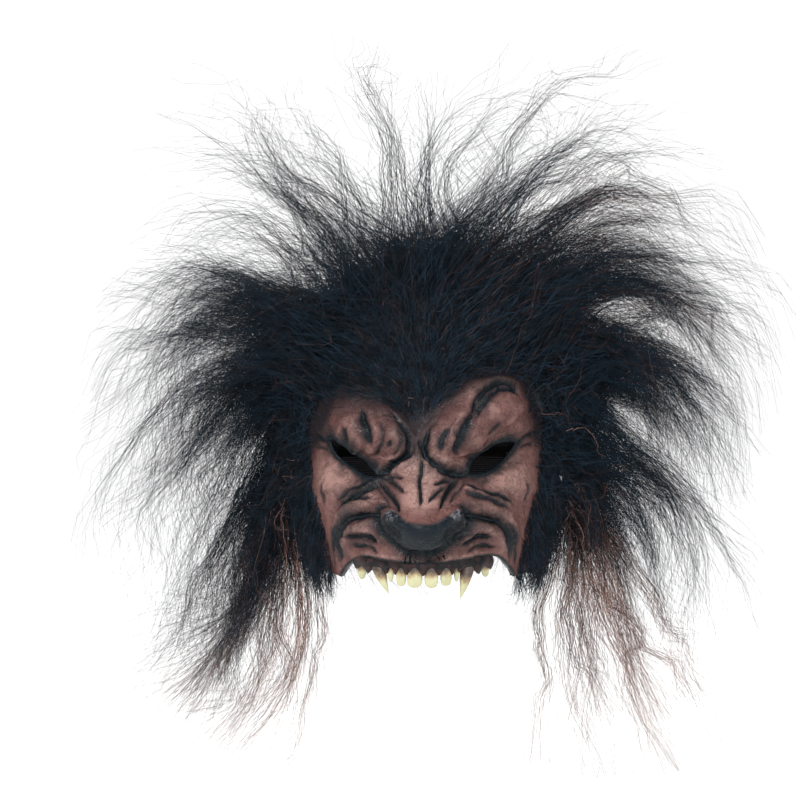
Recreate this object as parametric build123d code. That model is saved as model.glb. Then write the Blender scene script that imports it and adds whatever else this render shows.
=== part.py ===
from build123d import *
import math
import os

# Latex werewolf half mask with a hair wig on a cloth cap. Millimetres, +Z up, the face looks along -Y,
# and +X is the wearer's left. The origin is the middle of the wearer's head at eye level.

# Head and shell
HEAD_X = 80.0            # outer half breadth of the dome
HEAD_Y = 102.0           # outer half depth of the dome
HEAD_Z = 118.0           # outer half height of the dome
LATEX = 2.0              # latex wall
CAP_WALL = 1.5           # wig cap wall
RIM_Z = -67.0            # lower rim of the mask
CAP_RIM_Z = -24.0        # lower edge of the wig cap behind the ears
SEAM_TOP = (-76.0, 75.0)      # Y, Z of the seam between latex and cap, above the forehead
SEAM_LOW = (-15.0, -20.0)     # Y, Z of the seam, at the ears
EYE_Y = -40.0            # the eye holes are cut from the front as far back as this
LIP_Y = -60.0            # the lip's arch is cut as far back as this
FAR = 400.0              # a length past every surface

# Forms that stand out from the dome: middle, and half sizes along X, Y and Z
MUZZLE = ((0, -78, -42), (52, 50, 34))
BROW = ((31, -82, 25), (29, 24, 16))
NOSE = ((0, -121, -37), (24, 15, 14))

# Openings, as (X, Z) outlines seen from the front
EYE_RIGHT = [(-52, 11), (-43, 10), (-36, 3.5), (-30.5, -3), (-25, -10), (-31.6, -9), (-38, -6), (-44, -2),
             (-50, 4.6)]
EYE_LEFT = [(49.6, 10), (39.6, 9), (30, 3.5), (26.4, -1.3), (25, -7), (33, -8), (40.7, -4), (46, 2.5)]
LIP_ARCH = [(-48, -80), (-44, -64), (-38, -57), (-29, -53.5), (0, -55), (29, -53.5), (40, -56), (45, -64),
            (49, -80)]

# Strap, rivets, washers and patches
STRAP_WIDTH = 15.0
STRAP_THICK = 1.5
STRAP_SIDE_X = 69.9      # outer face of the strap beside the head
STRAP_BACK_Y = 92.0      # outer face of the strap behind the head
STRAP_BEND_Y = 20.0      # where the strap starts to go round the head
PIVOT = (-32.0, -12.0)   # Y, Z of the two rivets
RIVET_R = 2.0            # shank
HOLE_R = 2.05            # the strap's hole, loose on the shank
RIVET_HEAD_R = 4.5
RIVET_HEAD_X = 77.2      # inner face of the rivet's head
RIVET_HEAD_THICK = 1.6
RIVET_HEAD_ROUND = 1.2
RIVET_TAIL_R = 3.2
RIVET_TAIL_THICK = 1.2
RIVET_ROOM = 4.8         # radius of the gap in the fur and the tape round a rivet's head
PATCH_R = 11.0
PATCH_FACE_X = 70.1      # inner face of the reinforcing patches
WASHER_R = 5.5
WASHER_THICK = 0.8
WASHER_OUT_X = STRAP_SIDE_X - STRAP_THICK - 0.1
WASHER_IN_X = WASHER_OUT_X - WASHER_THICK

# Tape and elastic
TAPE_HALF = 8.0          # the seam tape reaches this far each side of the seam
TAPE_THICK = 1.2
RIM_ELASTIC_WIDTH = 10.0

# Short fur, as (X, Z) outlines seen from the front
FUR_DEEP = 8.0
FUR_BACK_Y = 60.0        # behind every place that the fur reaches
FOREHEAD_HAIRLINE = [(-70, 160), (-70, 40), (-50, 33), (-22, 32), (-4, 12), (8, 30), (22, 42), (54, 43),
                     (70, 40), (70, 160)]
CHEEK_HAIRLINE = [(110, 40), (67, 40), (69, 8), (62, -20), (53, -42), (51, RIM_Z), (110, RIM_Z)]

# Gum and teeth
GUM_TOP_Z = -50.0
GUM_LOW_Z = -60.0
GUM_HALF_X = 39.0
GUM_BACK_Y = -85.0
GUM_INSET = 9.0          # how far the gum's back lies inside the muzzle's outside
TOOTH_TOP_Z = -56.0
TOOTH_ROW_DEEP = 45.0    # half depth of the curve that the teeth stand on
TOOTH_ROW_HALF = 47.0    # half breadth of that curve
TOOTH_ROW_LEVEL = 0.73   # how full the curve is at the gum's height, 1 at the muzzle's middle
# Share of the way from gum to tip, and share of the tooth's size there
TOOTH_SECTIONS = [(0.0, 1.0), (0.5, 0.86), (0.85, 0.55), (1.0, 0.2)]
FANG_CURVE = 1.5         # how late along its length a fang leans
# name: X at the gum, X at the tip, Z of the tip, width, depth
TEETH = {
    "molar_right": (-34.0, -34.0, -66.4, 5.3, 5.0),
    "fang_right": (-25.5, -19.0, -73.5, 7.0, 6.5),
    "thin_tooth_right": (-17.5, -16.6, -66.6, 3.5, 4.0),
    "outer_incisor_right": (-11.7, -11.4, -68.8, 5.0, 4.5),
    "middle_incisor_right": (-4.3, -4.3, -69.5, 6.8, 4.5),
    "middle_incisor_left": (4.9, 4.9, -69.6, 6.3, 4.5),
    "outer_incisor_left": (12.9, 12.7, -68.5, 5.5, 4.5),
    "thin_tooth_left": (18.7, 17.8, -66.4, 3.0, 4.0),
    "fang_left": (25.5, 21.0, -76.2, 7.0, 6.5),
    "molar_left": (34.3, 34.3, -65.0, 4.8, 5.0),
}

# Hair locks: each is a flat tuft. Its plane faces forward, leans back about the X axis, and is then
# turned about the vertical, so that the back locks lie against the cap.
LOCK_THICK = 7.0
LOCK_SWELL_BY = 0.45     # share of its length by which a lock reaches its middle width
LOCK_NARROW_FROM = 0.55  # share of its length where it starts to narrow to its tip
# name: (distance behind the origin, lean back, turn, width at the root, middle and tip, (across, up) points)
LOCKS = {
    "front_lock_1": (-46, 0, 0, (40, 62, 26), [(-45, 52), (-95, 80), (-145, 66), (-183, 12)]),
    "front_lock_2": (-38, 0, 0, (32, 56, 30), [(-50, 56), (-88, 102), (-135, 114), (-190, 74)]),
    "front_lock_3": (-46, 0, 0, (28, 46, 30), [(-30, 80), (-64, 145), (-99, 188), (-138, 222)]),
    "front_lock_4": (-38, 0, 0, (26, 44, 26), [(-8, 88), (-30, 150), (-52, 200), (-84, 217)]),
    "front_lock_5": (-46, 0, 0, (26, 38, 24), [(4, 88), (8, 150), (25, 195), (54, 228)]),
    "front_lock_6": (-38, 0, 0, (30, 44, 22), [(14, 85), (46, 160), (84, 188), (150, 188)]),
    "front_lock_7": (-46, 0, 0, (34, 46, 26), [(28, 80), (80, 132), (128, 152), (178, 118)]),
    "front_lock_8": (-38, 0, 0, (40, 56, 30), [(40, 60), (88, 96), (138, 92), (190, 44)]),
    "side_lock_left_1": (-14, 0, 0, (46, 66, 30), [(50, 40), (104, 52), (146, 18), (178, -42)]),
    "side_lock_left_2": (-6, 0, 0, (46, 62, 30), [(52, 5), (104, -8), (138, -50), (150, -112)]),
    "side_lock_left_3": (3, 0, 0, (36, 60, 44), [(50, -14), (90, -62), (94, -120), (108, -174)]),
    "side_lock_right_1": (-14, 0, 0, (46, 68, 30), [(-50, 35), (-112, 34), (-152, -20), (-184, -94)]),
    "side_lock_right_2": (-6, 0, 0, (46, 64, 30), [(-52, 0), (-106, -30), (-134, -88), (-178, -160)]),
    "side_lock_right_3": (3, 0, 0, (36, 58, 42), [(-50, -14), (-86, -70), (-92, -128), (-132, -176)]),
    "crown_lock_1": (2, 14, 0, (50, 70, 36), [(-50, 40), (-110, 70), (-150, 60), (-182, 20)]),
    "crown_lock_2": (10, 14, 0, (46, 62, 34), [(-34, 70), (-84, 120), (-130, 150), (-172, 150)]),
    "crown_lock_3": (2, 14, 0, (42, 56, 34), [(-14, 85), (-34, 140), (-62, 180), (-96, 204)]),
    "crown_lock_4": (10, 14, 0, (42, 56, 34), [(8, 85), (16, 140), (36, 180), (70, 204)]),
    "crown_lock_5": (2, 14, 0, (46, 62, 34), [(32, 70), (80, 124), (128, 150), (168, 140)]),
    "crown_lock_6": (10, 14, 0, (50, 70, 36), [(50, 40), (108, 72), (152, 62), (184, 14)]),
    "back_lock_1": (32, 38, 0, (60, 90, 50), [(-40, 40), (-85, 72), (-125, 70), (-160, 40)]),
    "back_lock_2": (40, 38, 0, (54, 76, 50), [(-22, 50), (-48, 98), (-74, 130), (-112, 150)]),
    "back_lock_3": (32, 38, 0, (50, 66, 46), [(0, 60), (2, 110), (8, 144), (22, 172)]),
    "back_lock_4": (40, 38, 0, (54, 76, 50), [(22, 50), (50, 98), (80, 126), (118, 140)]),
    "back_lock_5": (32, 38, 0, (60, 90, 50), [(40, 40), (85, 70), (125, 66), (158, 34)]),
    "nape_lock_1": (73, -24, 62, (44, 60, 42), [(2, 34), (0, -20), (4, -60), (14, -104)]),
    "nape_lock_2": (82, -24, 32, (44, 58, 40), [(0, 34), (0, -20), (2, -60), (6, -104)]),
    "nape_lock_3": (90, -24, 0, (40, 52, 40), [(0, 34), (0, -20), (-2, -60), (0, -108)]),
    "nape_lock_4": (82, -24, -32, (44, 58, 40), [(0, 34), (0, -20), (-2, -60), (-6, -104)]),
    "nape_lock_5": (73, -24, -62, (44, 60, 42), [(-2, 34), (0, -20), (-4, -60), (-14, -104)]),
}


# Basic solids

def ellipsoid(center, radii):
    ball = scale(Sphere(1.0), by=radii)
    return Pos(*center) * ball


def form(middle_and_half_sizes, inset=0.0, side=1):
    """One of the face's forms, set in all round, and moved to the other side when side is -1."""
    (x, y, z), half_sizes = middle_and_half_sizes
    return ellipsoid((side * x, y, z), tuple(half - inset for half in half_sizes))


def dome(grow=0.0):
    """The wearer's head as one ellipsoid, larger by grow all round."""
    return ellipsoid((0, 0, 0), (HEAD_X + grow, HEAD_Y + grow, HEAD_Z + grow))


def slab(low, high):
    """A box between two corners."""
    size = [h - l for l, h in zip(low, high)]
    middle = [(h + l) / 2 for l, h in zip(low, high)]
    return Pos(*middle) * Box(*size)


def prism_y(points, y_low, y_high):
    """A closed XZ outline with straight edges, carried along Y."""
    ring = [(x, y_low, z) for x, z in points]
    face = make_face(Polyline(ring, close=True))
    return extrude(face, amount=y_high - y_low, dir=(0, 1, 0))


def cylinder_x(radius, x_from, x_to, y, z):
    """A round bar along X."""
    return Pos((x_from + x_to) / 2, y, z) * Rot(0, 90, 0) * Cylinder(radius, abs(x_to - x_from))


def mirrored_pair(solid):
    """The same piece on both sides of the head."""
    return Compound(children=[solid, mirror(solid, about=Plane.YZ)])


def seam_side(front, shift=0.0):
    """The half space in front of the seam plane, or behind it, moved back by shift."""
    dy = SEAM_LOW[0] - SEAM_TOP[0]
    dz = SEAM_LOW[1] - SEAM_TOP[1]
    length = math.hypot(dy, dz)
    forward = Vector(0, dz / length, -dy / length)
    origin = Vector(0, *SEAM_TOP) - forward * shift
    plane = Plane(origin=origin, x_dir=(1, 0, 0), z_dir=forward if front else forward * -1)
    return plane * Pos(0, 0, FAR / 2) * Box(FAR * 2, FAR * 2, FAR)


# Latex face

def face_form(inset):
    """The face's outside, or its inside when inset by the wall."""
    solid = dome(-inset) + form(MUZZLE, inset) + form(NOSE, inset)
    for side in (-1, 1):
        solid += form(BROW, inset, side)
    return solid


def rivet_holes(radius):
    return cylinder_x(radius, -FAR / 2, FAR / 2, *PIVOT)


def face_shell():
    shell = face_form(0.0) - face_form(LATEX)
    shell &= seam_side(front=True)
    shell &= slab((-FAR, -FAR, RIM_Z), (FAR, FAR, FAR))
    shell -= prism_y(EYE_RIGHT, -FAR, EYE_Y)
    shell -= prism_y(EYE_LEFT, -FAR, EYE_Y)
    shell -= prism_y(LIP_ARCH, -FAR, LIP_Y)
    shell -= rivet_holes(RIVET_R)
    return shell


def fur_patch(outline):
    """Short fur standing on the latex, inside an XZ outline and in front of the seam tape."""
    fur = dome(FUR_DEEP) - face_form(0.0)
    fur &= prism_y(outline, -FAR, FUR_BACK_Y)
    fur &= seam_side(front=True, shift=-TAPE_HALF)
    return fur


# Cap, tape and elastic

def wig_cap():
    cap = dome(0.0) - dome(-CAP_WALL)
    cap &= seam_side(front=False)
    cap &= slab((-FAR, -FAR, CAP_RIM_Z), (FAR, FAR, FAR))
    return cap


def front_seam_tape():
    """Cloth tape glued over the seam, with a gap round each rivet's head."""
    tape = dome(TAPE_THICK) - dome(0.0)
    tape &= seam_side(front=True, shift=TAPE_HALF)
    tape &= seam_side(front=False, shift=-TAPE_HALF)
    tape &= slab((-FAR, -FAR, CAP_RIM_Z), (FAR, FAR, FAR))
    return tape - rivet_holes(RIVET_ROOM)


def cap_edge_elastic():
    """A narrow elastic sewn round the outside of the cap's lower edge."""
    band = dome(TAPE_THICK) - dome(0.0)
    band &= seam_side(front=False, shift=TAPE_HALF)
    band &= slab((-FAR, -FAR, CAP_RIM_Z), (FAR, FAR, CAP_RIM_Z + RIM_ELASTIC_WIDTH))
    return band


# Gum and teeth

def tooth(x_top, x_tip, z_tip, width, depth):
    """A tooth lofted from the gum to its tip."""
    _, muzzle_y, _ = MUZZLE[0]
    row_y = muzzle_y - TOOTH_ROW_DEEP * math.sqrt(TOOTH_ROW_LEVEL - (x_top / TOOTH_ROW_HALF) ** 2)
    sections = []
    for along, size in TOOTH_SECTIONS:
        x = x_top + (x_tip - x_top) * along ** FANG_CURVE
        z = TOOTH_TOP_Z + (z_tip - TOOTH_TOP_Z) * along
        place = Plane(origin=(x, row_y, z))
        sections.append(place * Ellipse(width / 2 * size, depth / 2 * size))
    return loft(sections)


def upper_gum(teeth):
    """A bar glued behind the lip, with a socket for each tooth."""
    gum = form(MUZZLE, LATEX) - form(MUZZLE, GUM_INSET)
    gum &= slab((-GUM_HALF_X, -FAR, GUM_LOW_Z), (GUM_HALF_X, GUM_BACK_Y, GUM_TOP_Z))
    for solid in teeth:
        gum -= solid
    return gum


# Strap and its fastenings

def strap_plan(inset):
    """The strap seen from above: two straight sides and a half ellipse behind the head."""
    side = STRAP_SIDE_X - inset
    back = STRAP_BACK_Y - STRAP_BEND_Y - inset
    front_y = PIVOT[0] - STRAP_WIDTH / 2
    plan = Pos(0, STRAP_BEND_Y) * Ellipse(side, back)
    plan += Pos(0, (STRAP_BEND_Y + front_y) / 2) * Rectangle(side * 2, STRAP_BEND_Y - front_y)
    return plan & Pos(0, front_y + FAR / 2) * Rectangle(FAR, FAR)


def elastic_strap():
    """A flat band round the back of the head, open in front, with round ends at the rivets."""
    pivot_y, pivot_z = PIVOT
    plan = strap_plan(0.0) - strap_plan(STRAP_THICK)
    strap = Pos(0, 0, pivot_z - STRAP_WIDTH / 2) * extrude(plan, amount=STRAP_WIDTH)
    square_ends = slab((-FAR, -FAR, -FAR), (FAR, pivot_y, FAR))
    strap -= square_ends - cylinder_x(STRAP_WIDTH / 2, -FAR, FAR, *PIVOT)
    return strap - rivet_holes(HOLE_R)


def strap_patches():
    """A round patch inside each temple, flat where the strap lies against it."""
    patch = cylinder_x(PATCH_R, PATCH_FACE_X, FAR, *PIVOT) & dome(-LATEX)
    return mirrored_pair(patch - rivet_holes(RIVET_R))


def strap_rivets():
    """A domed head outside the latex, a shank through the patch and the strap, and a clenched tail."""
    head = cylinder_x(RIVET_HEAD_R, RIVET_HEAD_X, RIVET_HEAD_X + RIVET_HEAD_THICK, *PIVOT)
    outer_edge = head.edges().filter_by(GeomType.CIRCLE).sort_by(Axis.X)[-1]
    head = fillet(outer_edge, RIVET_HEAD_ROUND)
    shank = cylinder_x(RIVET_R, WASHER_IN_X, RIVET_HEAD_X, *PIVOT)
    tail = cylinder_x(RIVET_TAIL_R, WASHER_IN_X - RIVET_TAIL_THICK, WASHER_IN_X, *PIVOT)
    return mirrored_pair(shank + head + tail)


def rivet_washers():
    washer = cylinder_x(WASHER_R, WASHER_IN_X, WASHER_OUT_X, *PIVOT)
    return mirrored_pair(washer - rivet_holes(RIVET_R))


# Hair

def lock_outline(path, widths):
    """A tuft's flat outline: its width swells from the root and narrows to a blunt tip."""
    root, middle, tip = widths
    last = len(path) - 1
    left = []
    right = []
    for i, (x, z) in enumerate(path):
        before = path[max(i - 1, 0)]
        after = path[min(i + 1, last)]
        dx = after[0] - before[0]
        dz = after[1] - before[1]
        along = i / last
        width = root + (middle - root) * min(along / LOCK_SWELL_BY, 1.0)
        width += (tip - width) * max(along - LOCK_NARROW_FROM, 0.0) / (1.0 - LOCK_NARROW_FROM)
        reach = width / 2 / math.hypot(dx, dz)
        left.append((x - dz * reach, z + dx * reach))
        right.append((x + dz * reach, z - dx * reach))
    sides = [Spline(left), Spline(right)]
    ends = [Line(left[0], right[0]), Line(left[-1], right[-1])]
    return make_face(sides + ends)


def hair_lock(distance, lean, turn, widths, path):
    upright = Rot(90, 0, 0) * extrude(lock_outline(path, widths), amount=LOCK_THICK)
    placed = Pos(0, distance + LOCK_THICK, 0) * upright
    return Rot(0, 0, turn) * Rot(-lean, 0, 0) * placed


def boxes_meet(first, second):
    """Whether two shapes' bounding boxes overlap."""
    a = first.bounding_box()
    b = second.bounding_box()
    apart_x = a.min.X > b.max.X or b.min.X > a.max.X
    apart_y = a.min.Y > b.max.Y or b.min.Y > a.max.Y
    apart_z = a.min.Z > b.max.Z or b.min.Z > a.max.Z
    return not (apart_x or apart_y or apart_z)


def hair_locks(solids_to_clear):
    """Every lock, cut back from the given solids and from the locks before it."""
    keep_clear = list(solids_to_clear)
    locks = {}
    for name, values in LOCKS.items():
        tuft = hair_lock(*values)
        for other in keep_clear:
            if boxes_meet(tuft, other):
                tuft -= other
        locks[name] = tuft.solids().sort_by(SortBy.VOLUME)[-1]
        keep_clear.append(locks[name])
    return locks


def build_parts():
    teeth = {name: tooth(*values) for name, values in TEETH.items()}
    right_cheek = [(-x, z) for x, z in CHEEK_HAIRLINE]
    furs = {
        "forelock_fur": fur_patch(FOREHEAD_HAIRLINE),
        "sideburn_left": fur_patch(CHEEK_HAIRLINE) - rivet_holes(RIVET_ROOM),
        "sideburn_right": fur_patch(right_cheek) - rivet_holes(RIVET_ROOM),
    }
    outer = {
        "front_seam_tape": front_seam_tape(),
        "cap_edge_elastic": cap_edge_elastic(),
        "strap_rivets": strap_rivets(),
    }
    inner = {
        "face_shell": face_shell(),
        "upper_gum": upper_gum(teeth.values()),
        "wig_cap": wig_cap(),
        "elastic_strap": elastic_strap(),
        "strap_patches": strap_patches(),
        "rivet_washers": rivet_washers(),
    }
    locks = hair_locks([dome(0.0), *outer.values(), *furs.values()])
    return inner | outer | furs | teeth | locks


os.makedirs("parts", exist_ok=True)
for node, shape in build_parts().items():
    export_step(shape, f"parts/{node}.step")
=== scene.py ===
import math

import bpy
import numpy as np
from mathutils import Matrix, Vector
from mathutils.bvhtree import BVHTree


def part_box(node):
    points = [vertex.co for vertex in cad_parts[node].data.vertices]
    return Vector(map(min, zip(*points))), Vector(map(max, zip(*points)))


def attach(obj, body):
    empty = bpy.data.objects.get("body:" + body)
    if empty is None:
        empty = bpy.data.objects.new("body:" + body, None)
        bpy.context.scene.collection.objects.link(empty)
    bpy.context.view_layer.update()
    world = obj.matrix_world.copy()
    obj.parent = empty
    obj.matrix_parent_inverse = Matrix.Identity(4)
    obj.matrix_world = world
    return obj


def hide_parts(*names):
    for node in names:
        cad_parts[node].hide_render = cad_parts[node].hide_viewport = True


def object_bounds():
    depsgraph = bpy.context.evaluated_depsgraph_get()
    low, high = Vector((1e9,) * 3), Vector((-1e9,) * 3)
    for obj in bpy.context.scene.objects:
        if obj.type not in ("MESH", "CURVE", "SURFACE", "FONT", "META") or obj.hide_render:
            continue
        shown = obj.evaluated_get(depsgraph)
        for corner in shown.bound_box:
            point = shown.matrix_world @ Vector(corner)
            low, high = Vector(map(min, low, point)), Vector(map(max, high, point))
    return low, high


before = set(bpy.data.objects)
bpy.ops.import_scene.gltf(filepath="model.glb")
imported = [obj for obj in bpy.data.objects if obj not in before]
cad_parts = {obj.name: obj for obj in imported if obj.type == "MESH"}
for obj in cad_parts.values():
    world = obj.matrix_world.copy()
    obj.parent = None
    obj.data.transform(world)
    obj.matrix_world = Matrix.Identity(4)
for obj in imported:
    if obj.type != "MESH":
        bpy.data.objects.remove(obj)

# Latex werewolf half mask with a hair wig. The script works in millimetres and turns them into
# metres when it makes a mesh. +Z is up, the face looks along -Y, and the origin is the middle of the head.

MM = 0.001
CAD_BOX = [list(corner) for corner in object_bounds()]

HEAD_X, HEAD_Y, HEAD_Z = 80.0, 102.0, 118.0     # half breadth, half depth and half height of the dome
LATEX = 2.0                                     # latex wall
CAP_WALL = 1.5                                  # cloth wall of the wig cap
RIM_Z = -67.0                                   # lower rim of the latex
CAP_RIM_Z = -24.0                               # lower edge of the wig cap
SEAM_TOP = (-76.0, 75.0)                        # Y, Z of the seam between latex and cap
SEAM_LOW = (-15.0, -20.0)
SEAM_SLANT = 1.188                              # Y between two seam planes that are 1 mm apart
SEED = 11


# ---------------------------------------------------------------- mesh helpers

def new_mesh(name, verts, faces):
    """A mesh object from vertices in millimetres and faces of any size."""
    mesh = bpy.data.meshes.new(name)
    mesh.from_pydata([tuple(v) for v in np.asarray(verts) * MM], [], [tuple(f) for f in faces])
    mesh.update()
    piece = bpy.data.objects.new(name, mesh)
    bpy.context.scene.collection.objects.link(piece)
    mesh.polygons.foreach_set("use_smooth", np.ones(len(mesh.polygons), dtype=bool))
    return piece


def big_mesh(name, verts, quads, tris, quad_slots, tri_slots):
    """A large mesh made straight from arrays, with a material slot for each face."""
    mesh = bpy.data.meshes.new(name)
    mesh.vertices.add(len(verts))
    mesh.vertices.foreach_set("co", (verts * MM).astype(np.float32).ravel())
    corners = np.concatenate([quads.ravel(), tris.ravel()]).astype(np.int32)
    mesh.loops.add(len(corners))
    mesh.loops.foreach_set("vertex_index", corners)
    starts = np.concatenate([np.arange(len(quads)) * 4, len(quads) * 4 + np.arange(len(tris)) * 3])
    mesh.polygons.add(len(starts))
    mesh.polygons.foreach_set("loop_start", starts.astype(np.int32))
    mesh.polygons.foreach_set("material_index", np.concatenate([quad_slots, tri_slots]).astype(np.int32))
    mesh.polygons.foreach_set("use_smooth", np.ones(len(starts), dtype=bool))
    mesh.update(calc_edges=True)
    piece = bpy.data.objects.new(name, mesh)
    bpy.context.scene.collection.objects.link(piece)
    return piece


def grid_faces(rows, columns, wrap=False):
    """Quads of a grid of vertices stored row by row."""
    r, c = np.meshgrid(np.arange(rows - 1), np.arange(columns if wrap else columns - 1), indexing="ij")
    a = r * columns + c
    b = r * columns + (c + 1) % columns
    return np.stack([a, b, b + columns, a + columns], axis=-1).reshape(-1, 4)


def tube_faces(rings, sides, flip=False):
    """Faces of a tube stored ring by ring and closed at both ends."""
    faces = [tuple(f) for f in grid_faces(rings, sides, wrap=True)]
    faces += [tuple(reversed(range(sides))), tuple(range((rings - 1) * sides, rings * sides))]
    return [f[::-1] for f in faces] if flip else faces


def finish_piece(piece, node, slot_name, *materials, body="mask"):
    """Gives a piece its materials, the body it rides on and the CAD node it replaces, which it hides;
    slot_name is not used.
    """
    for material in materials:
        piece.data.materials.append(material)
    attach(piece, body)
    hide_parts(node)


def set_attribute(piece, name, values):
    """A number on each vertex, which a material reads."""
    layer = piece.data.attributes.new(name, "FLOAT", "POINT")
    layer.data.foreach_set("value", np.asarray(values, dtype=np.float32))


def apply_modifiers(piece):
    """Replaces the mesh by what its modifiers make of it."""
    depsgraph = bpy.context.evaluated_depsgraph_get()
    made = bpy.data.meshes.new_from_object(piece.evaluated_get(depsgraph))
    piece.modifiers.clear()
    piece.data = made


def solidify(piece, thick, offset=-1.0):
    """Gives a sheet its thickness in millimetres."""
    wall = piece.modifiers.new("wall", "SOLIDIFY")
    wall.thickness = thick * MM
    wall.offset = offset
    wall.use_even_offset = False
    apply_modifiers(piece)


def step(x):
    """Smooth step from 0 to 1."""
    x = np.clip(x, 0.0, 1.0)
    return x * x * (3.0 - 2.0 * x)


def bump(d):
    """A round bump: 1 at 0, falling to nearly 0 at 2."""
    return np.exp(-d * d)


# ---------------------------------------------------------------- curves in the face's plane

def smooth_path(points, closed=False, per_span=10):
    """A Catmull-Rom curve through points."""
    p = np.asarray(points, dtype=float)
    if closed:
        p = np.vstack([p[-1], p, p[0], p[1]])
    else:
        p = np.vstack([2 * p[0] - p[1], p, 2 * p[-1] - p[-2]])
    t = np.linspace(0.0, 1.0, per_span, endpoint=False)[:, None]
    spans = []
    for a, b, c, d in zip(p[:-3], p[1:-2], p[2:-1], p[3:]):
        spans.append(0.5 * (2 * b + (c - a) * t + (2 * a - 5 * b + 4 * c - d) * t ** 2
                            + (3 * b - a - 3 * c + d) * t ** 3))
    if not closed:
        spans.append(p[-2][None, :])
    return np.vstack(spans)


def to_path(xz, path, closed=False):
    """Distance from each point to a curve, and how far along the curve the nearest place is, 0 to 1."""
    ends = np.roll(path, -1, axis=0) if closed else path[1:]
    starts = path if closed else path[:-1]
    best = np.full(len(xz), 1e9)
    along = np.zeros(len(xz))
    for i, (a, b) in enumerate(zip(starts, ends)):
        ab = b - a
        t = np.clip(((xz - a) @ ab) / max(ab @ ab, 1e-9), 0.0, 1.0)
        d = np.hypot(*(xz - a - t[:, None] * ab).T)
        closer = d < best
        best[closer] = d[closer]
        along[closer] = (i + t[closer]) / len(starts)
    return best, along


def inside(xz, ring):
    """Whether each point lies inside a closed outline."""
    x, z = xz.T
    hit = np.zeros(len(xz), dtype=bool)
    for (x0, z0), (x1, z1) in zip(ring, np.roll(ring, -1, axis=0)):
        crosses = (z0 > z) != (z1 > z)
        with np.errstate(divide="ignore", invalid="ignore"):
            at = x0 + (z - z0) / (z1 - z0) * (x1 - x0)
        hit ^= crosses & (x < at)
    return hit


# ---------------------------------------------------------------- the face, in X and Z seen from the front

EYE_RIGHT_HOLE = [(-52, 11), (-43, 10), (-36, 3.5), (-30.5, -3), (-25, -10), (-31.6, -9), (-38, -6),
                  (-44, -2), (-50, 4.6)]
EYE_LEFT_HOLE = [(49.6, 10), (39.6, 9), (30, 3.5), (26.4, -1.3), (25, -7), (33, -8), (40.7, -4), (46, 2.5)]
MOUTH_ARCH = [(-49, -84), (-46, -67), (-38, -56.5), (-29, -52.5), (-15, -53), (0, -53.5), (15, -53),
              (31, -52), (39, -53.5), (44, -58.5), (49, -67), (51, -84), (0, -95)]

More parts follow.
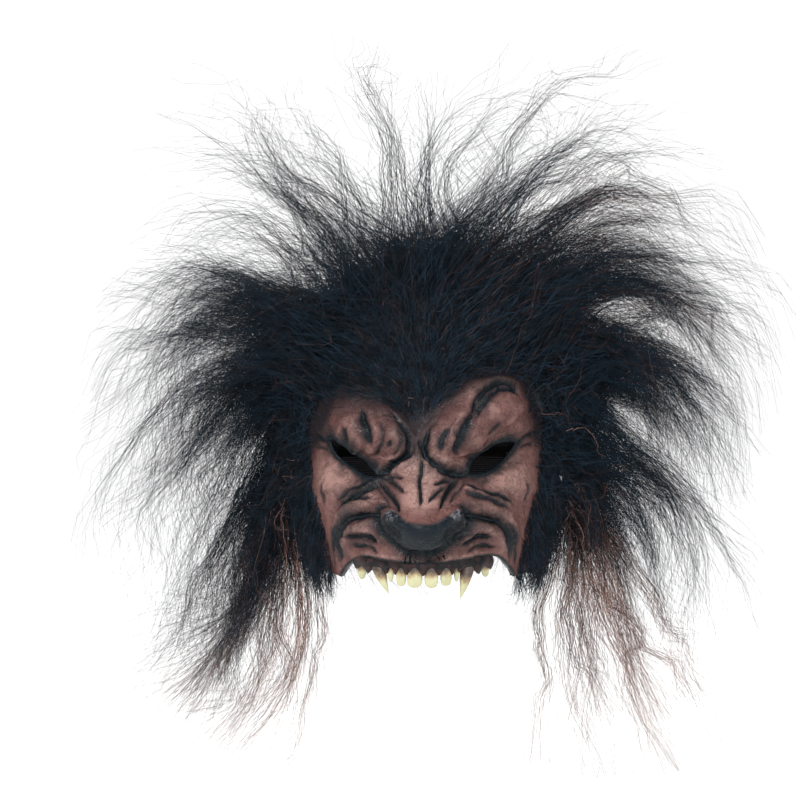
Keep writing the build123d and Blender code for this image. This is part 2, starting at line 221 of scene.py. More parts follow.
# points, depth, half width: dark creases pressed into the latex
CREASES = [
    ([(-1, 4), (-1.4, -10), (-1, -26)], 2.2, 1.0),
    ([(-18.8, 27), (-10.5, 17), (-7.7, 9), (-10, 1.4), (-21, -7), (-27, -9)], 2.6, 1.2),
    ([(9, 24), (2.6, 13), (1, 5.6), (4.5, -1.5), (12, -7), (20.5, -8), (26, -7.5)], 2.6, 1.2),
    ([(-5, 12), (-4.6, 6), (-9, 0.5), (-17, -5.2), (-24, -8)], 1.2, 0.8),
    ([(-2, 13), (-1, 6.7), (5.0, -2.5), (12, -9)], 1.2, 0.8),
    ([(-36, 29), (-30.5, 18), (-26.5, 9.5)], 3.0, 1.5),
    ([(-42.5, 19), (-40.5, 11)], 1.8, 1.3),
    ([(-24, 24), (-21, 15), (-22, 8), (-26, 3)], 1.2, 1.0),
    ([(-17.5, 12.5), (-16.8, 9)], 1.6, 1.4),
    ([(-14, 18), (-12, 10), (-15, 3)], 0.7, 0.9),
    ([(14.5, 18), (10.5, 12), (9, 6)], 2.0, 1.1),
    ([(29, 27), (21, 17), (16.5, 10), (15.5, 4.5)], 2.4, 1.3),
    ([(23.7, 20), (29, 31), (37, 39), (46, 40), (51, 35)], 2.8, 1.1),
    ([(25.5, 18), (31.5, 29), (39, 36), (47.5, 36), (51.5, 32)], 2.0, 0.9),
    ([(33, 14), (37, 19), (40, 22)], 1.0, 1.2),
    ([(51, 8), (56, 12.5), (61, 13.5)], 1.6, 1.1),
    ([(52, 5), (58, 7.5), (62, 7)], 1.0, 0.9),
    ([(-63, 12.5), (-57, 9.5), (-53, 8)], 1.4, 1.1),
    ([(-64, 7), (-58, 5), (-53, 4)], 1.0, 0.9),
    ([(-22, -10), (-15, -10), (-9, -10.5)], 1.6, 0.8),
    ([(-19.5, -11), (-14, -14), (-9, -18.5)], 1.7, 0.8),
    ([(-25, -10.5), (-19, -17), (-14.6, -22), (-11, -28)], 2.0, 0.9),
    ([(-28, -11), (-22, -18.5), (-17.5, -24)], 1.2, 0.7),
    ([(17, -11), (11, -12), (4.6, -13.4)], 1.6, 0.8),
    ([(12.5, -14.5), (7, -18.5), (2.6, -23)], 1.6, 0.8),
    ([(21.5, -9), (15, -15), (11.5, -20.5), (9, -27)], 2.0, 0.9),
    ([(24, -12), (18, -18), (14.5, -24)], 1.1, 0.7),
    ([(-27, -11.5), (-34, -15), (-42, -19.5), (-50, -25)], 1.8, 1.0),
    ([(-24, -14.5), (-34, -19.5), (-47, -27)], 2.4, 1.1),
    ([(-25, -21.5), (-33, -22), (-41, -25), (-47, -29.5)], 1.4, 0.9),
    ([(-23.5, -29), (-29, -30), (-37, -32), (-43, -36.5), (-45.3, -44), (-45.5, -52), (-46, -62)], 3.0, 1.3),
    ([(-42, -34), (-47.5, -40), (-49.5, -52), (-50, -63)], 1.5, 1.0),
    ([(-42, -42.5), (-37, -42.5), (-31.5, -41), (-26, -43), (-22.5, -46)], 2.2, 1.0),
    ([(-40, -48.5), (-34, -47), (-28, -47.5), (-22, -50.5)], 1.2, 0.9),
    ([(22.5, -12.5), (30, -17), (38.6, -20), (49, -26)], 2.0, 1.0),
    ([(21, -16), (28, -20.5), (37, -23.5), (46, -28.5)], 1.7, 0.9),
    ([(24.5, -29.5), (30, -31), (37, -33.5), (42.5, -38), (45, -46), (46, -60)], 3.0, 1.3),
    ([(42, -33), (47.5, -40), (49.5, -52), (50.5, -62)], 1.4, 1.0),
    ([(20.5, -46.5), (25, -43.5), (31, -41.5), (38, -43)], 2.2, 1.0),
    ([(22, -50), (28, -47.5), (35, -47), (40, -49)], 1.2, 0.9),
    ([(-12.5, -26.5), (-17, -23.8), (-22.5, -25), (-25, -30), (-23.5, -36), (-19, -42), (-11, -48.5),
      (-3, -50.2), (5, -50.2), (13, -47), (20, -41), (24.5, -36), (26, -30.5), (23, -25), (18, -23.5),
      (13, -25.5)], 2.6, 1.2),
    ([(-22, -31.5), (-19.5, -35), (-15.5, -38.5), (-11, -41)], 1.6, 1.7),
    ([(21.5, -31), (19.5, -35), (15.5, -39), (11, -42)], 1.6, 1.7),
    ([(-54, -13), (-57, -20), (-56, -27)], 0.8, 1.0),
    ([(55, -12), (57, -19), (55, -26)], 0.8, 1.0),
]

# points, height, half width: fleshy rolls between the creases
ROLLS = [
    ([(-16, 24), (-14, 12), (-16, 3), (-23, -2)], 3.4, 8.0),
    ([(-30, 24), (-26, 12), (-24, 3)], 3.0, 6.0),
    ([(-46, 24), (-40, 14), (-33, 5)], 3.4, 8.0),
    ([(9, 20), (5.5, 10), (9, 0), (18, -3.5)], 3.0, 6.0),
    ([(20, 22), (14, 9), (18, 0)], 2.8, 5.5),
    ([(30, 20), (24, 9), (24, 3)], 3.6, 8.0),
    ([(32, 22), (42, 28), (52, 20)], 5.0, 12.0),
    ([(20, 26), (28, 38), (40, 45), (52, 42)], 3.0, 7.0),
    ([(-9, 4), (-14, -6), (-7, -20)], 1.2, 5.0),
    ([(7, 2), (9, -8), (6, -20)], 1.2, 5.0),
    ([(-25, -17.5), (-34, -24), (-43, -29)], 2.8, 4.5),
    ([(-25, -12.5), (-35, -16.5), (-44, -21)], 1.6, 3.0),
    ([(-26, -25.5), (-36, -28.5), (-46, -35), (-48, -48), (-48, -62)], 2.6, 4.0),
    ([(-22, -37), (-30, -36.5), (-38, -39), (-41.5, -46), (-41.5, -56)], 3.0, 5.0),
    ([(-36, -52), (-28, -50), (-18, -52.5), (0, -54.5), (18, -52.5), (28, -50), (38, -51)], 2.4, 3.2),
    ([(22, -14.5), (30, -18.5), (40, -21.5), (47, -26)], 2.4, 3.2),
    ([(23, -20), (32, -25), (41, -29), (47, -37), (48, -48), (48, -62)], 3.0, 4.8),
    ([(24, -36), (31, -36), (38, -39), (42, -47), (42, -56)], 3.0, 5.0),
    ([(-20, -46), (-28, -44.5)], 1.5, 3.0),
    ([(20, -44.5), (28, -44)], 1.5, 3.0),
    ([(-46, -7), (-49, -13), (-48, -20)], 3.2, 12.0),
    ([(45, -5), (49, -12), (48, -20)], 3.2, 12.0),
]
NOSE_PAD = [(-22, -30.5), (-21.5, -36), (-16, -42.5), (-8, -48), (2, -50), (11, -47), (19, -40),
            (24, -34), (24, -28.5), (20, -25.5), (15.5, -28), (8, -32), (1, -32.5), (-8, -31.5),
            (-13, -27.5), (-18, -26)]


def hairline(x):
    """Height of the forehead's hairline above a place across the face."""
    return np.interp(x, [-70, -60, -50, -36, -22, -13, -4, 4, 13, 24, 40, 54, 62, 70],
                     [14, 26, 32, 33, 31, 24, 13, 21, 33, 42, 45, 44, 36, 16])


def blob(x, z, at_x, at_z, wide, tall):
    """A round bump about a place in the face's plane."""
    return bump(np.hypot((x - at_x) / wide, (z - at_z) / tall))


def nostril(x, z, slope, squash):
    """A slanting slit, with x and z measured from its middle."""
    return bump(np.hypot(x + z * slope, (z - x * slope) * squash) / 2.3)


def coarse_form(x, z):
    """How far the face stands forward of the dome."""
    muzzle = 26.0 * np.exp(-0.7 * (x / 41.0) ** 4) * step((6.0 - z) / 44.0)
    muzzle += 3.0 * np.exp(-0.5 * (x / 50.0) ** 6) * step((-30.0 - z) / 25.0)
    bridge_width = 9.0 + 0.12 * np.clip(-z, 0, 40)
    bridge = 7.0 * bump(x / bridge_width) * step((8.0 - z) / 14.0) * step((z + 52.0) / 20.0)
    block = np.exp(-((np.abs(x - 1.0) / 19.5) ** 3.2) - np.abs((z + 38.5) / 12.5) ** 3.0)
    ball = np.clip(1.0 - ((x - 1.0) / 19.0) ** 2 - ((z + 38.5) / 13.5) ** 2, 0.0, 1.0)
    pad = 4.5 * block + 10.5 * ball ** 0.7
    wings = 8.5 * (bump(np.hypot(x + 17.0, (z + 30.5) * 0.85) / 5.8)
                   + bump(np.hypot(x - 19.0, (z + 30.0) * 0.85) / 5.8))
    wings -= 3.0 * (nostril(x + 16.5, z + 35.5, 0.9, 0.42) + nostril(x - 15.5, z + 36.5, -0.7, 0.40))
    brow_z = np.interp(x, [-60, -40, -10, 0, 10, 30, 45, 60], [18, 20, 11, 8, 11, 22, 27, 18])
    brow = 9.0 * bump((z - brow_z) / np.where(z > brow_z, 19.0, 10.0)) * step((68.0 - np.abs(x)) / 22.0)
    brow *= 0.72 + 0.28 * step((np.abs(x) - 2.0) / 12.0)
    socket = -8.0 * (blob(x, z, -37.0, 0.5, 15.0, 8.5) + blob(x, z, 37.0, 1.5, 15.0, 8.5))
    temple = -2.5 * blob(np.abs(x), z, 66.0, 8.0, 9.0, 14.0)
    return muzzle + bridge + pad + wings + brow + socket + temple


def wander(xz, size, wave):
    """A smooth sideways wander of each place, so that folds don't run like drawn lines."""
    x, z = xz.T * (2 * math.pi / wave)
    dx = np.sin(z * 0.9 + 1.3 * np.sin(x * 0.7)) + 0.6 * np.sin(1.9 * x + 1.1 * z + 2.0)
    dz = np.sin(x * 1.1 + 1.2 * np.sin(z * 0.8) + 4.0) + 0.6 * np.sin(2.1 * z - 1.3 * x)
    return xz + size * np.stack([dx, dz], axis=1)


def padded(grid, axis, reach):
    """A grid with its edge cells repeated past both ends of one axis."""
    return np.pad(grid, [(reach, reach) if k == axis else (0, 0) for k in (0, 1)], mode="edge")


def blurred(grid, reach):
    """A grid averaged over a square of cells, twice."""
    size = 2 * reach + 1
    for axis in (0, 1, 0, 1):
        total = np.cumsum(np.insert(padded(grid, axis, reach), 0, 0.0, axis=axis), axis=axis)
        total = np.moveaxis(total, axis, 0)
        grid = np.moveaxis((total[size:] - total[:-size]) / size, 0, axis)
    return grid


def taper(along, amount=0.22):
    """Fades a stroke towards its two ends."""
    return step(along / amount) * step((1.0 - along) / amount)


def fine_form(xz):
    """Creases and rolls on the form, and how dark each place is painted."""
    height = np.zeros(len(xz))
    dark = np.zeros(len(xz))
    warped = wander(wander(xz, 0.30, 15.0), 0.12, 6.0)
    uneven = 1.0 + 0.16 * np.sin(xz[:, 0] * 0.9 + 2.0 * np.sin(xz[:, 1] * 0.5)) * np.sin(xz[:, 1] * 0.8)
    for points, tall, wide in ROLLS:
        d, along = to_path(warped, smooth_path(points))
        height += 1.35 * tall * np.exp(-(d / wide) ** 2.4) * (0.45 + 0.55 * taper(along, 0.3))
    for points, deep, wide in CREASES:
        d, along = to_path(warped, smooth_path(points))
        fade = taper(along)
        wide = wide * uneven * (0.45 + 0.70 * fade)
        cut = 0.6 * np.exp(-(d / wide) ** 2) + 0.4 * np.exp(-np.abs(d / (2.3 * wide)) ** 1.5)
        lips = bump((d - 2.6 * wide) / (1.3 * wide)) * fade
        height += deep * (-1.15 * cut * (0.3 + 0.7 * fade) + 0.30 * lips)
        strong = min(1.0, 0.35 + 0.27 * deep)
        dark = np.maximum(dark, strong * (0.3 + 0.7 * fade) * np.exp(-(d / (1.15 * wide)) ** 2))
        dark = np.maximum(dark, 0.32 * strong * fade * bump(d / (2.6 * wide)))
    return height, dark


def dome_y(x, z):
    """Y of the front of the dome above a place in the face's plane."""
    return -HEAD_Y * np.sqrt(np.clip(1.0 - (x / HEAD_X) ** 2 - (z / HEAD_Z) ** 2, 0.0, 1.0))


def seam_y(z):
    """Y of the seam plane at a height."""
    return SEAM_TOP[0] + (z - SEAM_TOP[1]) * (SEAM_LOW[0] - SEAM_TOP[0]) / (SEAM_LOW[1] - SEAM_TOP[1])


def face_grid():
    """Vertices of the dome in front of the seam, fine over the face and coarse beside it."""
    fine_rows = np.linspace(RIM_Z, 45.0, 138)
    rows = np.concatenate([fine_rows, np.linspace(45.0, 76.2, 18)[1:]])
    side = 26
    middle = 212
    columns = middle + 2 * side
    x = np.zeros((len(rows), columns))
    y = np.zeros((len(rows), columns))
    for i, z in enumerate(rows):
        ring = 1.0 - (z / HEAD_Z) ** 2
        edge_x = HEAD_X * math.sqrt(max(ring - (seam_y(z) / HEAD_Y) ** 2, 1e-5))
        edge = math.atan2(edge_x, -seam_y(z))
        inner = min(math.radians(52.0), edge * 0.86)
        left = np.linspace(-edge, -inner, side, endpoint=False)
        angle = np.concatenate([left, np.linspace(-inner, inner, middle), -left[::-1]])
        radius = np.sqrt(ring) / np.sqrt((np.sin(angle) / HEAD_X) ** 2 + (np.cos(angle) / HEAD_Y) ** 2)
        x[i] = radius * np.sin(angle)
        y[i] = -radius * np.cos(angle)
    z = np.repeat(rows[:, None], columns, axis=1)
    return x, y, z


def cut_opening(points, faces, ring, reach=1.05):
    """Moves the vertices beside an opening's outline onto it, and drops the faces inside it."""
    xz = points[:, [0, 2]]
    front = points[:, 1] < -30.0
    d, along = to_path(xz, ring, closed=True)
    within = inside(xz, ring)
    snap = front & ((within & (d < reach)) | (~within & (d < 0.3)))
    index = along[snap] * len(ring)
    low = np.floor(index).astype(int) % len(ring)
    part = (index - np.floor(index))[:, None]
    target = ring[low] * (1.0 - part) + ring[(low + 1) % len(ring)] * part
    points[snap, 0] = target[:, 0]
    points[snap, 2] = target[:, 1]
    points[snap, 1] = dome_y(target[:, 0], target[:, 1])
    deep = within & front & ~snap
    middle = points[faces][:, :, [0, 2]].mean(axis=1)
    gone = deep[faces].any(axis=1) | (inside(middle, ring) & front[faces].all(axis=1))
    rim = np.zeros(len(points))
    rim[front] = bump(d[front] / 2.2)
    return faces[~gone], rim


def grid_normals(points, faces):
    """Vertex normals of a quad mesh."""
    p = points[faces]
    cross = np.cross(p[:, 2] - p[:, 0], p[:, 3] - p[:, 1])
    normals = np.zeros_like(points)
    for k in range(4):
        np.add.at(normals, faces[:, k], cross)
    length = np.linalg.norm(normals, axis=1, keepdims=True)
    return normals / np.maximum(length, 1e-9)


def lowest_near(grid, reach):
    """The lowest value within a square of cells round each cell."""
    for axis in (0, 1):
        wide = padded(grid, axis, reach)
        cells = np.arange(grid.shape[axis])
        grid = np.min([np.take(wide, cells + k, axis=axis) for k in range(2 * reach + 1)], axis=0)
    return grid


def edge_quads(faces, count):
    """Quads that join the open edges of a surface to the same edges of its copy, count vertices later."""
    a = faces.ravel()
    b = np.roll(faces, -1, axis=1).ravel()
    keys = np.minimum(a, b) * (count + 1) + np.maximum(a, b)
    _, first, times = np.unique(keys, return_index=True, return_counts=True)
    open_edges = first[times == 1]
    a, b = a[open_edges], b[open_edges]
    return np.stack([b, a, a + count, b + count], axis=1)


def drop_unused(points, faces, *values):
    """Leaves out the vertices that no face uses."""
    used = np.unique(faces)
    place = np.full(len(points), -1)
    place[used] = np.arange(len(used))
    return (points[used], place[faces]) + tuple(v[used] for v in values)


def face_paint(xz, relief, dark, eyes, mouth_rim):
    """What the latex paint reads at each vertex, painted shade and painted highlights among it; every value
    runs from 0 to 1.
    """
    x, z = xz.T
    # Painted shade and highlight: the hollows of the relief are painted darker, over the black paint of the
    # creases, and its proud places lighter, partly the mask's drybrushed paint.
    hollow = (blurred(relief, 4) - relief).ravel()
    proud = (relief - blurred(relief, 6)).ravel()
    dark = np.maximum(dark, step(hollow / 1.9 - 0.12))
    raised = step(proud / 2.5) * (1.0 - step(dark * 1.2))

    pad_ring = smooth_path(NOSE_PAD, closed=True)
    pad_d, _ = to_path(xz, pad_ring, closed=True)
    nose = step(0.5 + np.where(inside(xz, pad_ring), pad_d, -pad_d) / 2.2)
    # Painted highlight: the tops of the nose's wings and the top edge of its pad are painted lighter.
    wing_tops = np.maximum(bump(np.hypot(x + 17.0, z + 28.0) / 4.5), bump(np.hypot(x - 19.0, z + 27.5) / 4.5))
    raised = np.maximum(raised, np.where(nose > 0.5, wing_tops, 0.0))
    raised = np.maximum(raised, 0.45 * nose * bump(pad_d / 2.0) * step((z + 36.0) / 4.0))

    rim_d, eye_shade_d = (np.minimum(*(to_path(places, eye, closed=True)[0] for eye in eyes))
                      for places in (xz, wander(xz, 1.4, 15.0)))
    dark = np.maximum(dark, 0.95 * bump(rim_d / 2.6))
    # Painted shade: a soft dark halo round the creases and round the eye openings.
    shade = np.maximum(blurred(dark.reshape(relief.shape), 4).ravel() * 1.7, 0.9 * bump(eye_shade_d / 7.0))
    dark = np.maximum(dark, 0.8 * mouth_rim ** 1.8)

    below = hairline(x) - z
    near_fur = 0.75 * bump(np.clip(below, 0, None) / 12.0) + step(-below / 4.0)
    near_fur += 0.6 * step((np.abs(x) - 57.0) / 9.0)
    near_fur += 0.6 * step((np.abs(x) - 48.0) / 12.0) * step((z - 2.0) / 12.0)
    cheeks = bump(np.hypot(np.abs(x + 0.5) - 46.5, z + 9.0) / 12.0)
    bridge = bump(x / 10.0) * step((7.0 - z) / 8.0) * step((z + 30.0) / 8.0)
    return {"dark": dark, "shade": np.clip(shade, 0, 1), "raised": raised, "nose": nose,
            "near_fur": np.clip(near_fur, 0, 1), "pale": np.clip(0.75 * cheeks + bridge, 0, 1)}


def make_face(outside, inside_material):
    """The sculpted latex shell."""
    x, y, z = face_grid()
    shape = x.shape
    points = np.stack([x, y, z], axis=-1).reshape(-1, 3)
    faces = grid_faces(*shape)
    *eyes, mouth = [smooth_path(ring, closed=True, per_span=12)
                    for ring in (EYE_RIGHT_HOLE, EYE_LEFT_HOLE, MOUTH_ARCH)]
    rims = []
    for ring in (*eyes, mouth):
        faces, rim = cut_opening(points, faces, ring)
        rims.append(rim)

    x, y, z = points.T
    xz = points[:, [0, 2]].copy()
    front = step((-y - 12.0) / 22.0)
    points[:, 1] -= coarse_form(x, z) * front
    normals = grid_normals(points, faces)
    if normals[np.argmin(y), 1] > 0:
        normals = -normals
        faces = faces[:, ::-1]
    height, dark = fine_form(xz)
    under_fur = step((xz[:, 1] - hairline(xz[:, 0])) / 6.0 + 0.5)
    height *= front * (1.0 - 0.8 * under_fur)
    height += 0.9 * np.maximum.reduce(rims) * front
    relief = height.reshape(shape)
    inner_height = blurred(lowest_near(relief, 2), 1).ravel() - LATEX
    inner = points + normals * inner_height[:, None]
    points += normals * height[:, None]

    values = face_paint(xz, relief, dark, eyes, rims[-1])
    points, faces, inner, *kept = drop_unused(points, faces, inner, *values.values())
    count = len(points)
    rim = edge_quads(faces, count)
    face = new_mesh("mask_face", np.vstack([points, inner]), np.vstack([faces, faces[:, ::-1] + count, rim]))
    for name, numbers in zip(values, kept):
        set_attribute(face, name, np.tile(numbers, 2))
    finish_piece(face, "face_shell", "latex_skin", outside, inside_material)
    slots = np.zeros(2 * len(faces) + len(rim), dtype=np.int32)
    slots[len(faces):2 * len(faces)] = 1
    face.data.polygons.foreach_set("material_index", slots)
    return face


# ---------------------------------------------------------------- the scene's light and camera

LAMP_TARGET = Vector((0.0, -0.05, 0.0))


def make_stage():
    """A white world, and white paper 60 mm below the mask."""
    scene = bpy.context.scene
    world = bpy.data.worlds.new("studio")
    world.use_nodes = True
    background = world.node_tree.nodes["Background"].inputs
    background["Color"].default_value = (1.0, 1.0, 1.0, 1.0)
    background["Strength"].default_value = 1.06
    scene.world = world
    scene.view_settings.view_transform = "Standard"
    bpy.ops.mesh.primitive_plane_add(size=60.0, location=(0, 0, CAD_BOX[0][2] - 60.0 * MM))
    floor = bpy.context.object
    floor.name = "floor"
    paper = Nodes("floor_paper", 0.9)
    paper.color((0.955, 0.955, 0.955, 1.0))
    floor.data.materials.append(paper.material)


def area_light(name, place, size, power):
    """A square lamp aimed at the face."""
    light = bpy.data.lights.new(name, "AREA")
    light.shape = "RECTANGLE"
    light.size = light.size_y = size
    light.energy = power
    lamp = bpy.data.objects.new(name, light)
    bpy.context.scene.collection.objects.link(lamp)
    lamp.location = place
    lamp.rotation_euler = (LAMP_TARGET - Vector(place)).to_track_quat("-Z", "Y").to_euler()


def make_lights():
    area_light("key", (-0.75, -1.25, 0.95), 0.5, 46.0)
    area_light("fill", (0.95, -1.15, 0.35), 0.6, 14.0)
    area_light("front", (0.1, -1.6, 0.05), 0.4, 5.0)


def make_camera():
    """A long lens nearly level with the face, a little to the wearer's left of it."""
    azimuth, elevation = math.radians(2.0), math.radians(1.0)
    distance, view_width, sensor = 1.4, 0.444, 36.0
    aim = Vector((-0.013, -0.095, 0.033))
    back = Vector((math.sin(azimuth) * math.cos(elevation), -math.cos(azimuth) * math.cos(elevation),
                   math.sin(elevation)))
    lens = bpy.data.cameras.new("camera")
    lens.sensor_width = sensor
    lens.lens = sensor * distance / view_width
    camera = bpy.data.objects.new("camera", lens)
    bpy.context.scene.collection.objects.link(camera)
    camera.location = aim + back * distance
    camera.rotation_euler = (-back).to_track_quat("-Z", "Y").to_euler()
    bpy.context.scene.camera = camera


# ---------------------------------------------------------------- materials

class Nodes:
    """Short calls that add and join shader nodes of one material."""

    def __init__(self, name, roughness, **sockets):
        self.material = bpy.data.materials.new(name)
        self.material.use_nodes = True
        self.tree = self.material.node_tree
        self.shader = self.tree.nodes["Principled BSDF"]
        self.shader.inputs["Roughness"].default_value = roughness
        for socket, value in sockets.items():
            self.shader.inputs[socket].default_value = value
        self.coords = self.tree.nodes.new("ShaderNodeTexCoord").outputs["Object"]

    def join(self, socket, value):
        if isinstance(value, bpy.types.NodeSocket):
            self.tree.links.new(value, socket)
        else:
            socket.default_value = value

    def node(self, kind, **inputs):
        """A new node with some of its inputs set; an underscore stands for a space in an input's name."""
        made = self.tree.nodes.new("ShaderNode" + kind)
        for name, value in inputs.items():
            self.join(made.inputs[name.replace("_", " ")], value)
        return made

    def noise(self, scale, detail=4.0, rough=0.55, coords=None):
        made = self.node("TexNoise", Scale=scale, Detail=detail, Roughness=rough,
                         Vector=coords or self.coords)
        return made.outputs["Fac"]

    def cells(self, scale):
        return self.node("TexVoronoi", Scale=scale, Vector=self.coords).outputs["Distance"]

    def waves(self, scale, axis):
        made = self.node("TexWave", Scale=scale, Vector=self.coords)
        made.bands_direction = axis
        return made.outputs["Fac"]

    def stretched(self, *scales):
        return self.node("Mapping", Scale=scales, Vector=self.coords).outputs["Vector"]

    def attribute(self, name):
        made = self.node("Attribute")
        made.attribute_name = name
        return made.outputs["Fac"]

    def ramp(self, value, low, high, to_low=0.0, to_high=1.0):
        """A smooth step from to_low to to_high as the value goes from low to high."""
        made = self.node("MapRange", Value=value, From_Min=low, From_Max=high, To_Min=to_low, To_Max=to_high)
        made.interpolation_type = "SMOOTHSTEP"
        return made.outputs["Result"]

    def math(self, kind, a, b, clamp=True):
        made = self.node("Math")
        made.operation = kind
        made.use_clamp = clamp
        self.join(made.inputs[0], a)
        self.join(made.inputs[1], b)
        return made.outputs["Value"]

    def times(self, a, b):
        return self.math("MULTIPLY", a, b)

    def mix(self, amount, a, b):
        """From colour a to colour b."""
        made = self.node("Mix")
        made.data_type = "RGBA"
        for name, value in (("Factor", amount), ("A", a), ("B", b)):
            self.join(made.inputs[name], (*value, 1.0) if isinstance(value, tuple) else value)
        return [s for s in made.outputs if s.name == "Result" and s.type == "RGBA"][0]

    def bumps(self, *layers):
        """Height layers of (value, depth in millimetres), one on another."""
        normal = None
        for value, depth in layers:
            made = self.node("Bump", Strength=1.0, Distance=depth * MM, Height=value)
            if normal is not None:
                self.join(made.inputs["Normal"], normal)
            normal = made.outputs["Normal"]
        self.join(self.shader.inputs["Normal"], normal)

    def color(self, value):
        self.join(self.shader.inputs["Base Color"], value)

    def roughness(self, value):
        self.join(self.shader.inputs["Roughness"], value)


def painted_latex():
    """Airbrushed latex: blotchy brown, a tan painted highlight on the fold tops, blue-black in the creases
    with painted shade round them and in the hollows, slate on the nose with a painted highlight on its wings.
    """
    painted_shade_colour, grime, crease = (0.006, 0.0055, 0.0065), (0.010, 0.006, 0.006), (0.0012, 0.0030, 0.0045)
    n = Nodes("painted_latex", 0.45, IOR=1.2)
    dark, shade, raised, nose, near_fur, pale = [
        n.attribute(name) for name in ("dark", "shade", "raised", "nose", "near_fur", "pale")]
    fine = n.noise(420.0, 4.0, 0.65)
    veins = n.math("ABSOLUTE", n.math("SUBTRACT", n.noise(115.0, 3.0, 0.6), 0.5, False), 0.0)
    wrinkle = n.ramp(veins, 0.0, 0.022, 1.0, 0.0)
    skin = n.mix(n.ramp(n.noise(60.0, 5.0), 0.35, 0.66), (0.052, 0.022, 0.020), (0.090, 0.043, 0.038))
    blotch = n.ramp(n.noise(140.0, 6.0, 0.75), 0.28, 0.62, 0.35, 1.0)
    skin = n.mix(n.times(pale, blotch), skin, (0.200, 0.120, 0.105))
    # Painted highlight: the proud fold tops are painted tan, partly the mask's drybrushed paint.
    painted_fold_highlight = n.times(n.ramp(raised, 0.0, 0.9), n.ramp(n.noise(170.0, 5.0, 0.7), 0.30, 0.66, 0.15, 0.9))
    skin = n.mix(painted_fold_highlight, skin, (0.170, 0.098, 0.086))
    skin = n.mix(n.times(wrinkle, 0.42), skin, grime)
    skin = n.mix(n.ramp(near_fur, 0.0, 1.0, 0.0, 0.97), skin, (0.007, 0.0055, 0.0065))
    # Painted shade: the halo round the creases and eye openings is painted near black.
    painted_shade_halo = n.times(shade, n.ramp(n.noise(110.0, 5.0, 0.7), 0.25, 0.6, 0.55, 1.0))
    skin = n.mix(n.ramp(painted_shade_halo, 0.05, 0.95), skin, painted_shade_colour)
    skin = n.mix(n.times(n.ramp(fine, 0.58, 0.70), 0.45), skin, grime)
    # The creases are painted blue-black; the hollows of the relief get it too, as painted shade.
    broken = n.times(dark, n.ramp(n.noise(190.0, 4.0, 0.7), 0.2, 0.5, 0.70, 1.0))
    skin = n.mix(n.ramp(broken, 0.12, 0.75), skin, crease)
    # Painted highlight on the nose: the tops of its wings and the top edge of its pad are painted grey.
    lighter_where_raised = n.times(n.ramp(raised, 0.1, 0.9), n.ramp(n.noise(330.0, 4.0, 0.75), 0.45, 0.62))
    cloudy = n.ramp(n.noise(100.0, 5.0, 0.7), 0.4, 0.75)
    slate = n.mix(cloudy, (0.0010, 0.0032, 0.0052), (0.0030, 0.0062, 0.0090))
    slate = n.mix(lighter_where_raised, slate, (0.075, 0.073, 0.080))
    slate = n.mix(n.ramp(dark, 0.1, 0.7), slate, (0.0010, 0.0018, 0.0028))
    n.color(n.mix(nose, skin, slate))
    n.roughness(n.ramp(n.noise(230.0, 4.0), 0.3, 0.7, 0.30, 0.52))
    n.bumps((n.noise(260.0, 6.0, 0.6), 0.40), (n.ramp(veins, 0.0, 0.04), 0.22),
            (n.cells(640.0), 0.14), (fine, 0.12))
    return n.material


def raw_latex():
    """The unpainted inside of the latex."""
    n = Nodes("raw_latex", 0.6)
    n.color(n.mix(n.noise(60.0, 5.0), (0.10, 0.07, 0.05), (0.17, 0.125, 0.09)))
    n.bumps((n.noise(350.0, 4.0), 0.2))
    return n.material


def tooth_paint():
    """Ivory teeth, brown at the root, with fine lengthwise streaks."""
    n = Nodes("tooth_paint", 0.30, IOR=1.4)
    root = n.math("ADD", n.attribute("root"), n.ramp(n.noise(300.0, 4.0), 0.3, 0.7, -0.06, 0.1))
    streak = n.noise(700.0, 3.0, 0.5, n.stretched(1.0, 1.0, 0.12))
    ivory = n.mix(streak, (0.20, 0.195, 0.105), (0.30, 0.295, 0.18))
    amber = n.mix(streak, (0.13, 0.085, 0.04), (0.19, 0.135, 0.07))
    brown = n.mix(streak, (0.010, 0.006, 0.004), (0.035, 0.018, 0.010))
    tint = n.mix(n.ramp(root, 0.28, 0.52), ivory, amber)
    n.color(n.mix(n.ramp(root, 0.42, 0.70), tint, brown))
    n.bumps((streak, 0.10))
    return n.material


def wet_gum():
    n = Nodes("wet_gum", 0.26, IOR=1.22)
    blotch = n.ramp(n.noise(240.0, 5.0), 0.40, 0.70)
    n.color(n.mix(blotch, (0.0020, 0.0022, 0.0030), (0.022, 0.009, 0.009)))
    n.bumps((n.noise(420.0, 4.0), 0.22))
    return n.material


def cloth(name, dark, light, thread=1100.0):
    """Woven cloth: two crossed sets of threads."""
    n = Nodes(name, 0.9, IOR=1.15)
    weave = n.times(n.waves(thread, "Z"), n.waves(thread, "X"))
    n.color(n.mix(n.math("ADD", weave, n.ramp(n.noise(90.0), 0.3, 0.7, 0.0, 0.4)), dark, light))
    n.bumps((weave, 0.12), (n.noise(500.0), 0.10))
    return n.material


def ribbed_elastic():
    n = Nodes("ribbed_elastic", 0.85, IOR=1.15)
    ribs = n.waves(260.0, "Z")
    lighter_where_raised = n.math("ADD", ribs, n.ramp(n.noise(400.0), 0.3, 0.8, 0.0, 0.3))
    n.color(n.mix(lighter_where_raised, (0.004, 0.004, 0.0045), (0.016, 0.016, 0.018)))
    n.bumps((ribs, 0.25), (n.noise(900.0), 0.08))
    return n.material


def rubber_patch():
    n = Nodes("rubber_patch", 0.7)
    n.color(n.mix(n.noise(120.0), (0.05, 0.04, 0.032), (0.10, 0.08, 0.062)))
    n.bumps((n.noise(500.0, 4.0), 0.15))
    return n.material


